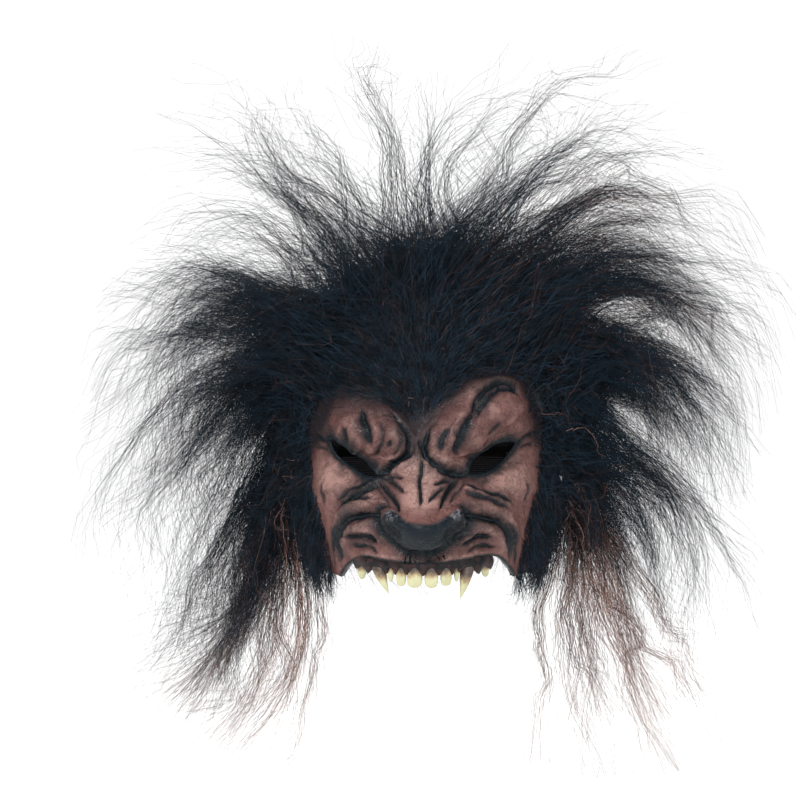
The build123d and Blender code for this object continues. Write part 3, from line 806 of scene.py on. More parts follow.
def rivet_steel():
    n = Nodes("rivet_steel", 0.32, Metallic=1.0)
    n.color(n.mix(n.noise(300.0), (0.38, 0.38, 0.39), (0.60, 0.60, 0.61)))
    n.roughness(n.ramp(n.noise(700.0, 4.0), 0.3, 0.7, 0.22, 0.45))
    n.bumps((n.noise(1500.0), 0.03))
    return n.material


def fibre(name, color):
    """One tone of hair, lighter and darker in streaks along the strands."""
    n = Nodes(name, 0.55, IOR=1.15)
    streak = n.ramp(n.noise(130.0, 4.0, 0.7), 0.35, 0.65)
    dim, bright = (tuple(share * c for c in color) for share in (0.55, 1.5))
    n.color(n.mix(streak, dim, bright))
    n.roughness(n.ramp(n.noise(400.0, 2.0), 0.3, 0.7, 0.45, 0.65))
    return n.material


# ---------------------------------------------------------------- gum and teeth

MUZZLE_Y = -78.0
GUM_TOP, GUM_HALF_LENGTH = -50.0, 39.0
TOOTH_NODES = ["molar_right", "fang_right", "thin_tooth_right", "outer_incisor_right", "middle_incisor_right",
               "middle_incisor_left", "outer_incisor_left", "thin_tooth_left", "fang_left", "molar_left"]
FANG_LEAN = {"fang_right": 6.0, "fang_left": -4.0}      # how far its tip is to the side of its root
FANG_WIDTH = 8.8                                         # at the root
TOOTH_SWELL = {"middle_incisor_right": 1.25, "middle_incisor_left": 1.2, "outer_incisor_right": 1.12,
               "outer_incisor_left": 1.15}     # how much wider the rounded tooth is than its solid


def box_mm(node):
    low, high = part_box(node)
    return np.array(low) / MM, np.array(high) / MM


def tooth_place(node, swell=1.0):
    """Width of a tooth at its root, and the X of its middle."""
    low, high = box_mm(node)
    if node not in FANG_LEAN:
        return (high[0] - low[0]) * swell, (low[0] + high[0]) / 2
    return FANG_WIDTH, high[0] - FANG_WIDTH / 2 if FANG_LEAN[node] < 0 else low[0] + FANG_WIDTH / 2


def gum_y(x, inset):
    """The muzzle's curve at the gum's height, set in from the latex."""
    return MUZZLE_Y - (50.0 - inset) * np.sqrt(np.clip(0.78 - (x / (52.0 - inset)) ** 2, 0.02, 1.0))


def make_tooth(node, material):
    """A tooth with a rounded outline that tapers to its tip; the fangs curve."""
    low, high = box_mm(node)
    rings, sides = 26, 28
    fang = node in FANG_LEAN
    lean = FANG_LEAN.get(node, 0.0)
    width, center_x = tooth_place(node, TOOTH_SWELL.get(node, 1.0))
    depth = high[1] - low[1]
    center_y = (low[1] + high[1]) / 2
    top_z = high[2] + 1.0
    t = np.linspace(0.0, 1.0, rings)
    if fang:
        size = depth_size = (1.0 - t ** 1.7) * 0.88 + 0.12 * np.sqrt(1 - t)
    else:
        square = 14.0 if "incisor" in node else 5.0
        size = (0.86 + 0.14 * np.sin(t * math.pi)) * np.sqrt(np.clip(1.0 - t ** square, 0.0, 1.0))
        depth_size = (1.0 - 0.45 * t) * np.sqrt(np.clip(1.0 - t ** 3.0, 0.0, 1.0))
    angle = np.linspace(0.0, 2 * math.pi, sides, endpoint=False)
    cx, cy = (np.sign(w) * np.abs(w) ** 0.8 for w in (np.cos(angle), np.sin(angle)))
    verts = []
    for i in range(rings):
        x = center_x + lean * t[i] ** 1.7
        y = center_y - (1.6 * math.sin(t[i] * math.pi * 0.8) if fang else 0.5 * math.sin(t[i] * math.pi))
        z = top_z + (low[2] - top_z) * t[i]
        ring_x = x + cx * max(width / 2 * size[i], 0.12)
        ring_y = y + cy * max(depth / 2 * depth_size[i], 0.12)
        verts += [(a, b, z) for a, b in zip(ring_x, ring_y)]
    tooth = new_mesh(node + "_enamel", verts, tube_faces(rings, sides, flip=True))
    root = 1.0 - np.repeat(t, sides)
    set_attribute(tooth, "root", np.clip(root * 1.12 - 0.1, 0, 1))
    finish_piece(tooth, node, "tooth", material)


def make_gum(material):
    """A wet bar behind the lip that bulges over each root and dips between the teeth."""
    columns, around = 260, 26
    x = np.linspace(-GUM_HALF_LENGTH, GUM_HALF_LENGTH, columns)
    over = np.zeros(columns)
    for node in TOOTH_NODES:
        wide, place = tooth_place(node)
        over = np.maximum(over, np.exp(-np.abs((x - place) / (wide * 0.50)) ** 2.6))
    bottom = -63.4 + 4.6 * over
    bulge = 0.9 * over
    middle = (GUM_TOP + bottom) / 2
    half = (GUM_TOP - bottom) / 2 * np.clip((GUM_HALF_LENGTH - np.abs(x)) / 3.0, 0.05, 1.0) ** 0.5
    verts = np.zeros((columns, around, 3))
    for k in range(around):
        turn = 2 * math.pi * k / around
        up, out = math.cos(turn), math.sin(turn)
        verts[:, k, 0] = x
        verts[:, k, 1] = gum_y(x, 5.6 - (3.4 + bulge * (0.5 - 0.5 * up)) * out)
        verts[:, k, 2] = middle + half * np.sign(up) * abs(up) ** 0.7
    gum = new_mesh("gum_bar", verts.reshape(-1, 3), tube_faces(columns, around))
    finish_piece(gum, "upper_gum", "gum", material)


# ---------------------------------------------------------------- cap, tape, elastics

def dome_radius(angle, z, grow=0.0):
    """Distance of the dome from the vertical axis, at a turn from the face's direction."""
    ring = np.sqrt(np.clip(1.0 - (z / (HEAD_Z + grow)) ** 2, 0.0, 1.0))
    return ring / np.sqrt((np.sin(angle) / (HEAD_X + grow)) ** 2 + (np.cos(angle) / (HEAD_Y + grow)) ** 2)


def dome_point(angle, z, grow=0.0):
    r = dome_radius(angle, z, grow)
    return np.stack([r * np.sin(angle), -r * np.cos(angle), np.broadcast_to(z, np.shape(r))], axis=-1)


def cap_edge_z(angle, shift=0.0):
    """Height where the cap ends at each turn from the face: at the seam in front, at its rim behind.
    A shift moves the seam that many millimetres, square to its plane."""
    z = np.linspace(HEAD_Z - 0.5, CAP_RIM_Z, 600)
    edges = np.zeros(len(angle))
    for i, a in enumerate(angle):
        behind = -dome_radius(a, z) * math.cos(a) > seam_y(z) + SEAM_SLANT * shift
        ahead = np.nonzero(~behind)[0]
        edges[i] = z[ahead[0]] if len(ahead) else CAP_RIM_Z
    return edges


def make_cap(material):
    """The cloth cap, with the ridges of the sewn hair rows and puckers along its edge."""
    columns, rows = 181, 90
    row_gap = 9.0
    angle = np.linspace(0.0, 2 * math.pi, columns)
    edge = cap_edge_z(angle)
    edge_rise = np.arcsin(np.clip(edge / HEAD_Z, -1, 1))
    verts = np.zeros((rows, columns, 3))
    verts[0] = (0.0, 0.0, HEAD_Z)
    for i in range(1, rows):
        z = HEAD_Z * np.sin(edge_rise + (math.pi / 2 - edge_rise) * (1 - i / (rows - 1)))
        z = np.minimum(z, HEAD_Z * 0.99995)
        ridge = 0.35 * np.clip(np.sin(z / row_gap * 2 * math.pi) - 0.6, 0, 1) / 0.4
        pucker = 0.2 * np.sin(angle * 46.0) * step((edge + 14.0 - z) / 14.0)
        verts[i] = dome_point(angle, z, ridge + pucker)
    cap = new_mesh("cap_cloth", verts.reshape(-1, 3), grid_faces(rows, columns))
    weld = cap.modifiers.new("weld", "WELD")
    weld.merge_threshold = 0.02 * MM
    apply_modifiers(cap)
    solidify(cap, CAP_WALL)
    finish_piece(cap, "wig_cap", "cap_fabric", material)


def band_on_dome(name, node, slot_name, material, low_edge, high_edge, angle, thick, wave):
    """A strip that follows the dome between two heights at each turn."""
    across = 9
    verts = np.zeros((len(angle), across, 3))
    for k in range(across):
        part = k / (across - 1)
        z = low_edge + (high_edge - low_edge) * part
        verts[:, k] = dome_point(angle, z, thick + wave * np.sin(angle * 70.0) * math.sin(part * math.pi))
    strip = new_mesh(name, verts.reshape(-1, 3), grid_faces(len(angle), across))
    solidify(strip, thick - 0.1, offset=1.0)
    finish_piece(strip, node, slot_name, material)
    return strip


def make_strap(material):
    """The ribbed elastic behind the wearer's head, round at both riveted ends."""
    pivot_y, pivot_z = -32.0, -12.0
    half_box, half_band, sides = 0.75, 0.62, 40
    low, high = box_mm("elastic_strap")
    half_x, back_y = high[:2] - half_box
    half_z = (high[2] - low[2]) / 2
    bend_y = 20.0
    side = np.stack([np.full(40, half_x), np.linspace(pivot_y - half_z, bend_y, 40)], axis=1)
    turn = np.linspace(0.0, math.pi, 140)[1:-1]
    arc = np.stack([half_x * np.cos(turn), bend_y + (back_y - bend_y) * np.sin(turn)], axis=1)
    path = np.vstack([side, arc, side[::-1] * (-1, 1)])
    run = np.concatenate([[0.0], np.cumsum(np.hypot(*np.diff(path, axis=0).T))])
    to_end = np.minimum(run, run[-1] - run)
    tangent = unit(np.gradient(path, axis=0))
    out = np.stack([tangent[:, 1], -tangent[:, 0]], axis=1)
    section = []
    for k in range(sides):
        turn = 2 * math.pi * k / sides
        section.append((math.copysign(abs(math.cos(turn)) ** 0.35, math.cos(turn)),
                        math.copysign(abs(math.sin(turn)) ** 0.6, math.sin(turn))))
    verts = []
    for p, o, e in zip(path, out, to_end):
        tall = half_z
        if e < half_z:
            tall = math.sqrt(max(half_z ** 2 - (half_z - e) ** 2, 0.02))
        for u, v in section:
            thick = (half_band + 0.08 * math.cos(u * half_z * 2.6)) * v
            verts.append((p[0] + o[0] * thick, p[1] + o[1] * thick, pivot_z + u * tall))
    strap = new_mesh("strap_band", verts, tube_faces(len(path), sides))
    finish_piece(strap, "elastic_strap", "elastic", material, body="strap")


def paint_node(node, material):
    """Gives a CAD node that stays its material."""
    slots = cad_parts[node].data.materials
    slots.clear()
    slots.append(material)


# ---------------------------------------------------------------- hair

# Each lock of hair, as the CAD has it: distance behind the origin, lean back and turn in degrees,
# widths at root, middle and tip, and the (across, up) points from root to tip.
# Then: how many strands, how deep the lock is, and the percentage of brown in it.
LOCKS = {
    "front_lock_1": (-46, 0, 0, (40, 62, 26), [(-45, 52), (-95, 80), (-145, 66), (-183, 12)], 760, 44, 6),
    "front_lock_2": (-38, 0, 0, (32, 56, 30), [(-50, 56), (-88, 102), (-135, 114), (-190, 74)], 610, 40, 5),
    "front_lock_3": (-46, 0, 0, (28, 46, 30), [(-30, 80), (-64, 145), (-99, 188), (-138, 222)], 210, 52, 5),
    "front_lock_4": (-38, 0, 0, (26, 44, 26), [(-8, 88), (-30, 150), (-52, 200), (-84, 217)], 180, 52, 5),
    "front_lock_5": (-46, 0, 0, (26, 38, 24), [(4, 88), (8, 150), (25, 195), (54, 228)], 200, 52, 5),
    "front_lock_6": (-38, 0, 0, (30, 44, 22), [(14, 85), (46, 160), (84, 188), (150, 188)], 230, 52, 14),
    "front_lock_7": (-46, 0, 0, (34, 46, 26), [(28, 80), (80, 132), (128, 152), (178, 118)], 620, 44, 28),
    "front_lock_8": (-38, 0, 0, (40, 56, 30), [(40, 60), (88, 96), (138, 92), (190, 44)], 1350, 44, 20),
    "side_lock_left_1": (-14, 0, 0, (46, 66, 30), [(50, 40), (104, 52), (146, 18), (178, -42)], 1470, 38, 6),
    "side_lock_left_2": (-6, 0, 0, (46, 62, 30), [(52, 5), (104, -8), (138, -50), (150, -112)], 1480, 36, 6),
    "side_lock_left_3": (3, 0, 0, (36, 60, 44), [(50, -14), (90, -62), (94, -120), (108, -174)], 680, 34, 90),
    "side_lock_right_1": (-14, 0, 0, (46, 68, 30), [(-50, 35), (-112, 34), (-152, -20), (-184, -94)],
                          900, 40, 6),
    "side_lock_right_2": (-6, 0, 0, (46, 64, 30), [(-52, 0), (-106, -30), (-134, -88), (-178, -160)],
                          1350, 38, 12),
    "side_lock_right_3": (3, 0, 0, (36, 58, 42), [(-50, -14), (-86, -70), (-92, -128), (-132, -176)],
                          640, 34, 90),
    "crown_lock_1": (2, 14, 0, (50, 70, 36), [(-50, 40), (-110, 70), (-150, 60), (-182, 20)], 520, 56, 5),
    "crown_lock_2": (10, 14, 0, (46, 62, 34), [(-34, 70), (-84, 120), (-130, 150), (-172, 150)], 190, 60, 5),
    "crown_lock_3": (2, 14, 0, (42, 56, 34), [(-14, 85), (-34, 140), (-62, 180), (-96, 204)], 140, 64, 5),
    "crown_lock_4": (10, 14, 0, (42, 56, 34), [(8, 85), (16, 140), (36, 180), (70, 204)], 140, 64, 5),
    "crown_lock_5": (2, 14, 0, (46, 62, 34), [(32, 70), (80, 124), (128, 150), (168, 140)], 210, 60, 5),
    "crown_lock_6": (10, 14, 0, (50, 70, 36), [(50, 40), (108, 72), (152, 62), (184, 14)], 760, 56, 5),
    "back_lock_1": (32, 38, 0, (60, 90, 50), [(-40, 40), (-85, 72), (-125, 70), (-160, 40)], 590, 54, 5),
    "back_lock_2": (40, 38, 0, (54, 76, 50), [(-22, 50), (-48, 98), (-74, 130), (-112, 150)], 320, 56, 5),
    "back_lock_3": (32, 38, 0, (50, 66, 46), [(0, 60), (2, 110), (8, 144), (22, 172)], 280, 56, 5),
    "back_lock_4": (40, 38, 0, (54, 76, 50), [(22, 50), (50, 98), (80, 126), (118, 140)], 320, 56, 5),
    "back_lock_5": (32, 38, 0, (60, 90, 50), [(40, 40), (85, 70), (125, 66), (158, 34)], 590, 54, 5),
    "nape_lock_1": (73, -24, 62, (44, 60, 42), [(2, 34), (0, -20), (4, -60), (14, -104)], 680, 28, 8),
    "nape_lock_2": (82, -24, 32, (44, 58, 40), [(0, 34), (0, -20), (2, -60), (6, -104)], 680, 28, 8),
    "nape_lock_3": (90, -24, 0, (40, 52, 40), [(0, 34), (0, -20), (-2, -60), (0, -108)], 680, 28, 8),
    "nape_lock_4": (82, -24, -32, (44, 58, 40), [(0, 34), (0, -20), (-2, -60), (-6, -104)], 680, 28, 8),
    "nape_lock_5": (73, -24, -62, (44, 60, 42), [(-2, 34), (0, -20), (-4, -60), (-14, -104)], 680, 28, 8),
}
LOCK_SEGMENTS = 22
HAIR_WIDE = 0.40         # width of a strand near its root
FULL_LOCK = 600          # strands from which a lock counts as full
WISPS_FULL, WISPS_THIN = 12, 5          # tufts that the strands of a full or a thin lock gather in
GATHER = (0.0, 0.66, 0.93, 0.96)        # how far they have gathered at each point of the lock's path
DEPTH_SHARE = (0.0, 0.60, 0.78, 0.95)   # share of the lock's depth that they fill at each point
DRIFT = (0.0, 3.0, 7.0, 10.0)           # how far a wisp strays from the path at each point
UNDER_SHARE = 0.20       # share of a lock's strands that stay short
COVER_HAIRS = 260        # short strands that a thin lock behind the front row also has, to cover the cap
FUR_SEGMENTS = 6
FOREHEAD_STRANDS = 5100
FOREHEAD_TRIES = 30000   # random places of which the first good ones are kept
CHEEK_STRANDS = 3600
BLACK, BLUE_BLACK, DARK_BROWN, BROWN, RUST = range(5)
STRAP_REACH_Z = -95.0    # hair stays outside the dome down to here, clear of the swinging strap
LONG_LOCKS = ("side_lock_left_3", "side_lock_right_3", "nape")     # their strands reach nearly to the end


def unit(v):
    return v / np.maximum(np.linalg.norm(v, axis=-1, keepdims=True), 1e-9)


def turned(points, lean, turn):
    """Points leant back about the X axis and then turned about the vertical, as the CAD places a lock."""
    a, b = math.radians(-lean), math.radians(turn)
    about_x = np.array([[1, 0, 0], [0, math.cos(a), -math.sin(a)], [0, math.sin(a), math.cos(a)]])
    about_z = np.array([[math.cos(b), -math.sin(b), 0], [math.sin(b), math.cos(b), 0], [0, 0, 1]])
    return points @ (about_z @ about_x).T


def on_dome(points, grow=0.0):
    """Points moved straight from the head's middle onto the dome."""
    size = np.array([HEAD_X + grow, HEAD_Y + grow, HEAD_Z + grow])
    return points / np.linalg.norm(points / size, axis=-1, keepdims=True)


def dome_normal(points):
    return unit(points / np.array([HEAD_X, HEAD_Y, HEAD_Z]) ** 2)


def curve_weights(count, segments):
    """Weights that take control points to the points of a clamped smooth curve."""
    t = np.linspace(0.0, 1.0, segments + 1)
    degree = min(3, count - 1)
    knots = np.concatenate([np.zeros(degree), np.linspace(0, 1, count - degree + 1), np.ones(degree)])
    basis = np.zeros((len(t), len(knots) - 1))
    for i in range(len(knots) - 1):
        basis[:, i] = (t >= knots[i]) & (t < knots[i + 1])
    basis[-1, np.nonzero(knots < 1.0)[0][-1]] = 1.0
    for d in range(1, degree + 1):
        new = np.zeros((len(t), len(knots) - 1 - d))
        for i in range(new.shape[1]):
            low = knots[i + d] - knots[i]
            high = knots[i + d + 1] - knots[i + 1]
            if low > 0:
                new[:, i] += (t - knots[i]) / low * basis[:, i]
            if high > 0:
                new[:, i] += (knots[i + d + 1] - t) / high * basis[:, i + 1]
        basis = new
    return basis


def frizz(rng, strands, segments, length, wave, amount, kink):
    """Random waves along each strand, which grow towards its tip, and a kink at each of its points."""
    t = np.linspace(0.0, 1.0, segments + 1)[None, :, None]
    move = np.zeros((strands, segments + 1, 3))
    for scale, part in ((1.0, 1.0), (0.4, 0.45)):
        turns = length[:, None, None] / (wave * scale) * rng.uniform(0.7, 1.3, (strands, 1, 3))
        phase = rng.uniform(0, 2 * math.pi, (strands, 1, 3))
        move += part * np.sin(2 * math.pi * turns * t + phase)
    size = rng.gamma(2.0, 0.5, (strands, 1, 1)) * amount
    kinks = rng.normal(0, kink, move.shape) * np.minimum(1.0, 3.0 * t)
    return move * size * (0.25 * t + 0.75 * t * t) + kinks


def curl_ends(paths, way, start, turns):
    """Winds the end of each strand round a circle, from a share of its length on."""
    strands, rings = paths.shape[:2]
    t = np.linspace(0.0, 1.0, rings)[None, :, None]
    first = start[:, None, None]
    bend = turns[:, None, None] * np.clip((t - first) / (1.0 - first), 0.0, 1.0)
    at = np.minimum((start * (rings - 1)).astype(int), rings - 2)
    row = np.arange(strands)
    tangent = unit(paths[row, at + 1] - paths[row, at])
    side = unit(way - tangent * (way * tangent).sum(axis=1, keepdims=True))
    rest = np.linalg.norm(np.diff(paths, axis=1), axis=2).sum(axis=1) * (1.0 - start)
    radius = (rest / np.maximum(np.abs(turns), 0.2))[:, None, None]
    forward = radius * (np.sin(bend) - bend) * np.sign(turns)[:, None, None]
    sideways = radius * (1.0 - np.cos(bend))
    return paths + forward * tangent[:, None, :] + sideways * side[:, None, :]


def kept_within(paths, low, high, soft):
    """Points eased back inside a box: the nearer they come to a side, the more slowly they approach it."""
    over = np.maximum(paths - (high - soft), 0.0)
    under = np.maximum((low + soft) - paths, 0.0)
    return paths - over + soft * np.tanh(over / soft) + under - soft * np.tanh(under / soft)


def strand_mesh(name, paths, wide, slots, tip_slots, tip_from):
    """Closed three-sided tapering tubes, one for each path."""
    strands, rings = paths.shape[:2]
    tangent = unit(np.gradient(paths, axis=1))
    side = unit(np.cross(tangent, np.array([0.31, 0.87, 0.38])))
    other = np.cross(tangent, side)
    t = np.linspace(0.0, 1.0, rings)
    size = (wide / 2)[:, None] * (1.0 - 0.76 * t[None, :])
    verts = np.zeros((strands, rings, 3, 3))
    for k in range(3):
        turn = 2 * math.pi * k / 3
        verts[:, :, k] = paths + size[..., None] * (math.cos(turn) * side + math.sin(turn) * other)
    base = (np.arange(strands) * rings * 3)[:, None, None, None]
    ring = (np.arange(rings - 1) * 3)[None, :, None, None]
    k = np.arange(3)[None, None, :, None]
    corner = np.concatenate([k, (k + 1) % 3, (k + 1) % 3 + 3, k + 3], axis=3)
    quads = (base + ring + corner).reshape(-1, 4)
    first = np.arange(strands)[:, None] * rings * 3
    tris = np.vstack([first + np.array([[2, 1, 0]]), first + (rings - 1) * 3 + np.array([[0, 1, 2]])])
    at = np.arange(rings - 1) / (rings - 1)
    by_ring = np.where(at[None, :] < tip_from[:, None], slots[:, None], tip_slots[:, None])
    quad_slots = np.repeat(by_ring.reshape(-1), 3)
    tri_slots = np.concatenate([slots, tip_slots])
    return big_mesh(name, verts.reshape(-1, 3), quads, tris, quad_slots, tri_slots)


def tones(rng, strands, brown):
    """A tone for each strand, and for its tip."""
    pick = rng.random(strands)
    slots = np.where(pick < 0.40, BLACK, np.where(pick < 1.0 - 0.3 * brown - 0.03, BLUE_BLACK, DARK_BROWN))
    slots = np.where(rng.random(strands) < 0.10 * brown, BROWN, slots)
    tipped = rng.random(strands) < brown
    tip = np.where(tipped, np.where(rng.random(strands) < 0.6 - 0.5 * brown, BROWN, RUST), slots)
    tip = np.where((tip == RUST) & (rng.random(strands) > brown), BROWN, tip)
    tip_from = rng.uniform(0.34, 0.62, strands) if brown > 0.5 else rng.uniform(0.5, 0.8, strands)
    return slots, tip, tip_from


def make_lock(index, node, materials):
    """A lock: strands that rise from a patch of the cap and gather in wisps along the lock's path."""
    distance, lean, turn, widths, path, strands, deep, brown = LOCKS[node]
    brown /= 100
    rng = np.random.default_rng(SEED * 100 + index)
    wisps = WISPS_FULL if strands >= FULL_LOCK else WISPS_THIN
    short = UNDER_SHARE
    if strands < FULL_LOCK and not node.startswith("front"):
        short = (strands * UNDER_SHARE + COVER_HAIRS) / (strands + COVER_HAIRS)
        strands += COVER_HAIRS
    guide = turned(np.array([(x, distance + 3.5, z) for x, z in path], dtype=float), lean, turn)
    plane = turned(np.array([[0.0, 1.0, 0.0]]), lean, turn)[0]
    across = unit(np.cross(unit(np.gradient(guide, axis=0)), plane))
    root_middle = on_dome(guide[0])
    normal = dome_normal(root_middle)
    u = unit(np.cross(normal, plane))
    v = np.cross(normal, u)
    disc = rng.normal(0, 1, (strands, 2))
    disc /= np.maximum(1.0, np.linalg.norm(disc, axis=1, keepdims=True) / 1.8)
    kind = rng.random(strands)
    under = kind < short                    # short dense hair near the head
    stray = kind > 1.0 - 0.175 * (1.0 - short)     # loose hairs outside the wisps
    disc[under] *= 1.9
    roots = root_middle + disc[:, :1] * widths[0] * 0.46 * u + disc[:, 1:] * widths[0] * 0.50 * v
    roots = on_dome(roots, 0.4)
    roots[:, 2] = np.maximum(roots[:, 2], CAP_RIM_Z + 3)

    long_lock = node.startswith(LONG_LOCKS)
    least = 0.90 if long_lock else 0.66
    reach = rng.beta(1.8, 1.1, strands) * (1.06 - least) + least
    if long_lock:
        guide[-1] += 0.10 * (guide[-1] - guide[-2])
    reach[under] = rng.uniform(0.25, 0.62, under.sum())
    wisp_of = rng.integers(0, wisps, strands)
    wisp_at = rng.uniform(-1.0, 1.0, (wisps, 2))
    wisp_reach = rng.uniform(0.96 if long_lock else 0.82, 1.06, wisps)
    reach = np.clip(reach * wisp_reach[wisp_of], 0.2, 1.0)
    wisp_drift = rng.normal(0, 1, (wisps, 3))
    own = rng.normal(0, 0.45, (strands, 2)).clip(-1.2, 1.2)
    tight = np.where(stray, rng.uniform(0.1, 0.7, strands), 1.0)[:, None]

    fan = deep * np.where(under, 1.8, 1.0)[:, None]
    controls = [roots, roots + dome_normal(roots) * rng.uniform(5, 16, (strands, 1))]
    half = [widths[0] * 0.9, widths[1] * 0.66, widths[1] * 0.66, widths[2] * 1.15]
    for j in range(1, len(guide)):
        gather = GATHER[j] * tight
        place = own * (1 - gather) + wisp_at[wisp_of] * gather + rng.normal(0, 0.04, (strands, 2))
        spot = guide[j] + place[:, :1] * half[j] * across[j] + place[:, 1:] * fan * DEPTH_SHARE[j] * plane
        controls.append(spot + wisp_drift[wisp_of] * DRIFT[j])
    controls = np.stack(controls, axis=1)
    curve = curve_weights(controls.shape[1], LOCK_SEGMENTS * 2)
    long_paths = np.einsum("sc,ncd->nsd", curve, controls)
    stations = np.linspace(0, 1, LOCK_SEGMENTS + 1)[None, :] * reach[:, None] * LOCK_SEGMENTS * 2
    low = np.minimum(stations.astype(int), LOCK_SEGMENTS * 2 - 1)
    part = (stations - low)[..., None]
    rows = np.arange(strands)[:, None]
    paths = long_paths[rows, low] * (1 - part) + long_paths[rows, low + 1] * part

    wisp_way = unit(wisp_drift + np.array([0.0, 0.0, -0.6]))
    wisp_turns = rng.uniform(1.0, 3.0, wisps) * rng.choice([-1.0, 1.0], wisps)
    turns = wisp_turns[wisp_of] + rng.normal(0, 0.8, strands)
    turns += np.where(stray, rng.normal(0, 2.2, strands), 0)
    turns *= 0.40 if long_lock else 0.62
    way = wisp_way[wisp_of] + rng.normal(0, 0.35, (strands, 3))
    paths = curl_ends(paths, way, rng.uniform(0.55, 0.84, strands), np.where(under, 0.4, turns))
    length = np.linalg.norm(np.diff(paths, axis=1), axis=2).sum(axis=1)
    paths += frizz(rng, wisps, LOCK_SEGMENTS, np.full(wisps, length.max()), 95.0, 5.0, 0.0)[wisp_of]
    looseness = np.where(stray, 1.9, 1.0)[:, None, None]
    paths += frizz(rng, strands, LOCK_SEGMENTS, length, 38.0, 1.7, 0.45) * looseness
    inside_head = np.linalg.norm(paths / (np.array([HEAD_X, HEAD_Y, HEAD_Z]) + 1.0), axis=2) < 1.0
    near = inside_head & (paths[..., 2] > STRAP_REACH_Z)
    paths[near] = on_dome(paths[near], 2.0)
    low_corner, high_corner = np.array(CAD_BOX) / MM
    paths = kept_within(paths, low_corner - 8.0, high_corner + 8.0, 30.0)

    slots, tip, tip_from = tones(rng, strands, brown)
    wide = HAIR_WIDE * rng.uniform(0.7, 1.15, strands) * np.where(under, 1.35, np.where(stray, 0.7, 1.0))
    hair = strand_mesh(node + "_hair", paths, wide, slots, tip, tip_from)
    finish_piece(hair, node, "hair", *materials)


def make_fur(name, node, face, roots, comb, length, materials, brown, seed, lift):
    """Short fur: strands that lie along the comb's direction and rise a little from the latex or the cap."""
    rng = np.random.default_rng(seed)
    tree = BVHTree.FromObject(face, bpy.context.evaluated_depsgraph_get())
    on_head = roots(rng)
    way = comb(on_head) + rng.normal(0, 0.26, on_head.shape)
    start = on_head + dome_normal(on_head) * 1.4
    normal = dome_normal(on_head)
    for i, point in enumerate(on_head):
        place, face_normal, _, gap = tree.find_nearest(Vector(point * MM))
        if gap < 14.0 * MM and point[1] < seam_y(point[2]) - 2.0:
            start[i] = np.array(place) / MM
            normal[i] = np.array(face_normal) * (1.0 if face_normal @ Vector(point) > 0 else -1.0)
    lay = unit(way - normal * (way * normal).sum(axis=1, keepdims=True))
    count = len(start)
    size = length(start) * rng.uniform(0.6, 1.25, count)
    rise = lift * rng.uniform(0.5, 1.4, count)
    t = np.linspace(0, 1, FUR_SEGMENTS + 1)[None, :, None]
    reach = size[:, None, None]
    lifted = 0.4 + rise[:, None, None] * reach * (0.9 * t - 0.4 * t * t)
    paths = start[:, None, :] + lay[:, None, :] * reach * t + normal[:, None, :] * lifted
    paths[..., 2] -= (0.08 * reach * t * t)[..., 0]
    turns = rng.normal(0, 0.8, count)
    paths = curl_ends(paths, unit(rng.normal(0, 1, (count, 3))), np.full(count, 0.4), turns)
    paths += frizz(rng, count, FUR_SEGMENTS, size, 24.0, 1.0, 0.25)
    slots, tip, tip_from = tones(rng, count, brown)
    fur = strand_mesh(name, paths, HAIR_WIDE * rng.uniform(0.8, 1.2, count), slots, tip, tip_from)
    finish_piece(fur, node, "short_fur", *materials)


def forehead_roots(rng):
    """Places above the hairline, over the tape and on the front of the cap."""
    tries = FOREHEAD_TRIES
    x = np.where(rng.random(tries) < 0.35, rng.normal(-3.0, 15.0, tries), rng.uniform(-74, 74, tries))
    low = rng.random(tries) < 0.45
    z = np.where(low, hairline(x) + rng.exponential(14.0, tries), rng.uniform(8, 113, tries))
    above = z > hairline(x) - 1.0
    on_front = (x / HEAD_X) ** 2 + (z / HEAD_Z) ** 2 < 0.93
    points = np.stack([x, dome_y(x, z), z], axis=1)[above & on_front]
    return points[:FOREHEAD_STRANDS]


def forehead_comb(points):
    """Up from the widow's peak, and outwards at the temples."""
    x = points[:, 0]
    outwards = x / 38.0 + 0.25 * np.tanh(x / 7.0)
    return np.stack([outwards, np.full(len(x), -0.15), np.full(len(x), 1.0)], axis=1)


def forehead_length(points):
    return 22.0 + 14.0 * step((points[:, 2] - 40.0) / 40.0)


def cheek_roots(side):
    """Places beside the face, from the temple to the rim and back to the tape, on one side."""
    def roots(rng):
        z = rng.uniform(RIM_Z + 1, 66.0, CHEEK_STRANDS)
        edge = np.interp(z, [-67, -42, -20, 8, 40, 66], [50, 52, 60, 67, 65, 56])
        reach = np.sqrt(np.clip(1.0 - (z / HEAD_Z) ** 2, 0, 1)) * HEAD_X
        first = np.arctan2(edge, -dome_y(edge, z))
        angle = first + (np.radians(84.0) - first) * rng.random(CHEEK_STRANDS) ** 1.25
        points = dome_point(angle, z)
        points[:, 0] *= side
        return points[np.abs(points[:, 0]) < reach + 1.0]
    return roots


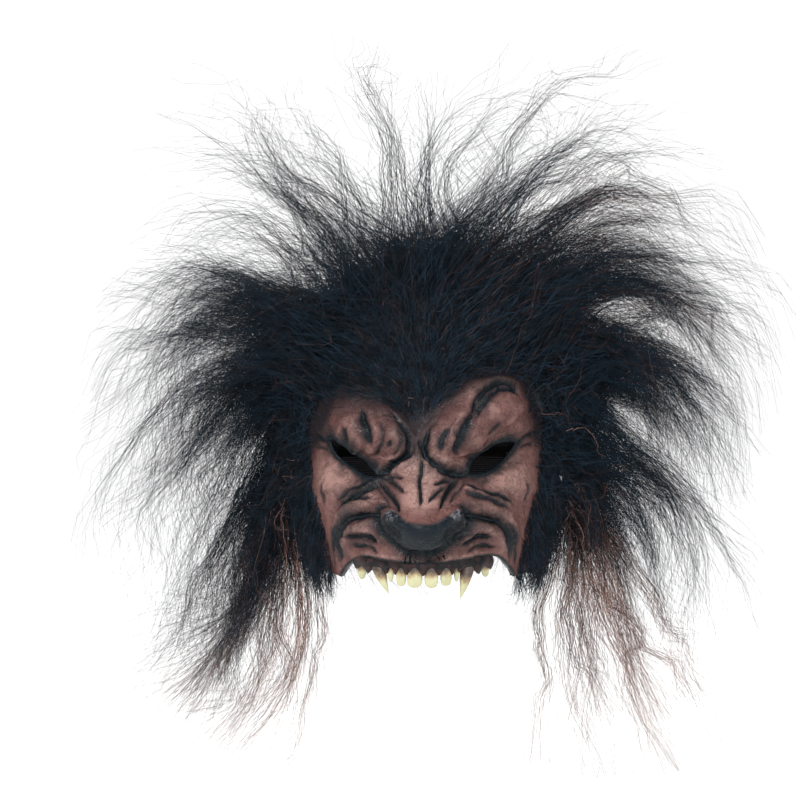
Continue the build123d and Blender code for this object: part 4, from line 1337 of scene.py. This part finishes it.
def cheek_comb(side):
    """Back and down, more down below."""
    def comb(points):
        down = -0.8 + 0.5 * np.clip(points[:, 2] / 50.0, -1, 1)
        return np.stack([np.full(len(points), 0.7 * side), np.full(len(points), 0.35), down], axis=1)
    return comb


def cheek_length(points):
    return 20.0 + 10.0 * step((points[:, 2] - 20.0) / 40.0)


# ---------------------------------------------------------------- build

make_camera()
make_stage()
make_lights()

enamel = tooth_paint()
elastic = ribbed_elastic()
hair_tones = [
    fibre("hair_black", (0.0022, 0.0043, 0.0066)),
    fibre("hair_blue_black", (0.0060, 0.0120, 0.0190)),
    fibre("hair_dark_brown", (0.013, 0.0085, 0.0085)),
    fibre("hair_brown", (0.040, 0.020, 0.016)),
    fibre("hair_rust", (0.15, 0.085, 0.070)),
]

face = make_face(painted_latex(), raw_latex())

for tooth_node in TOOTH_NODES:
    make_tooth(tooth_node, enamel)
make_gum(wet_gum())

make_cap(cloth("cap_weave", (0.006, 0.006, 0.007), (0.028, 0.028, 0.032)))
tape_angle = np.radians(np.linspace(-80.5, 80.5, 200))
tape_weave = cloth("tape_weave", (0.010, 0.010, 0.011), (0.04, 0.04, 0.043), 1500.0)
tape = band_on_dome("seam_tape_strip", "front_seam_tape", "seam_tape", tape_weave,
                    cap_edge_z(tape_angle, -8.0), cap_edge_z(tape_angle, 8.0), tape_angle, 0.7, 0.0)
rim_angle = np.radians(np.linspace(88.0, 272.0, 260))
rim = band_on_dome("cap_rim_elastic", "cap_edge_elastic", "elastic", elastic,
                   CAP_RIM_Z, CAP_RIM_Z + 10.0, rim_angle, 0.9, 0.25)
make_strap(elastic)
paint_node("strap_patches", rubber_patch())
steel = rivet_steel()
paint_node("strap_rivets", steel)
paint_node("rivet_washers", steel)

for number, lock_node in enumerate(LOCKS):
    make_lock(number, lock_node, hair_tones)
make_fur("forelock_hair", "forelock_fur", face, forehead_roots, forehead_comb, forehead_length,
         hair_tones, 0.10, 501, 0.30)
for side_name, side, seed in (("left", 1, 502), ("right", -1, 503)):
    make_fur("sideburn_%s_hair" % side_name, "sideburn_" + side_name, face, cheek_roots(side),
             cheek_comb(side), cheek_length, hair_tones, 0.06, seed, 0.35)
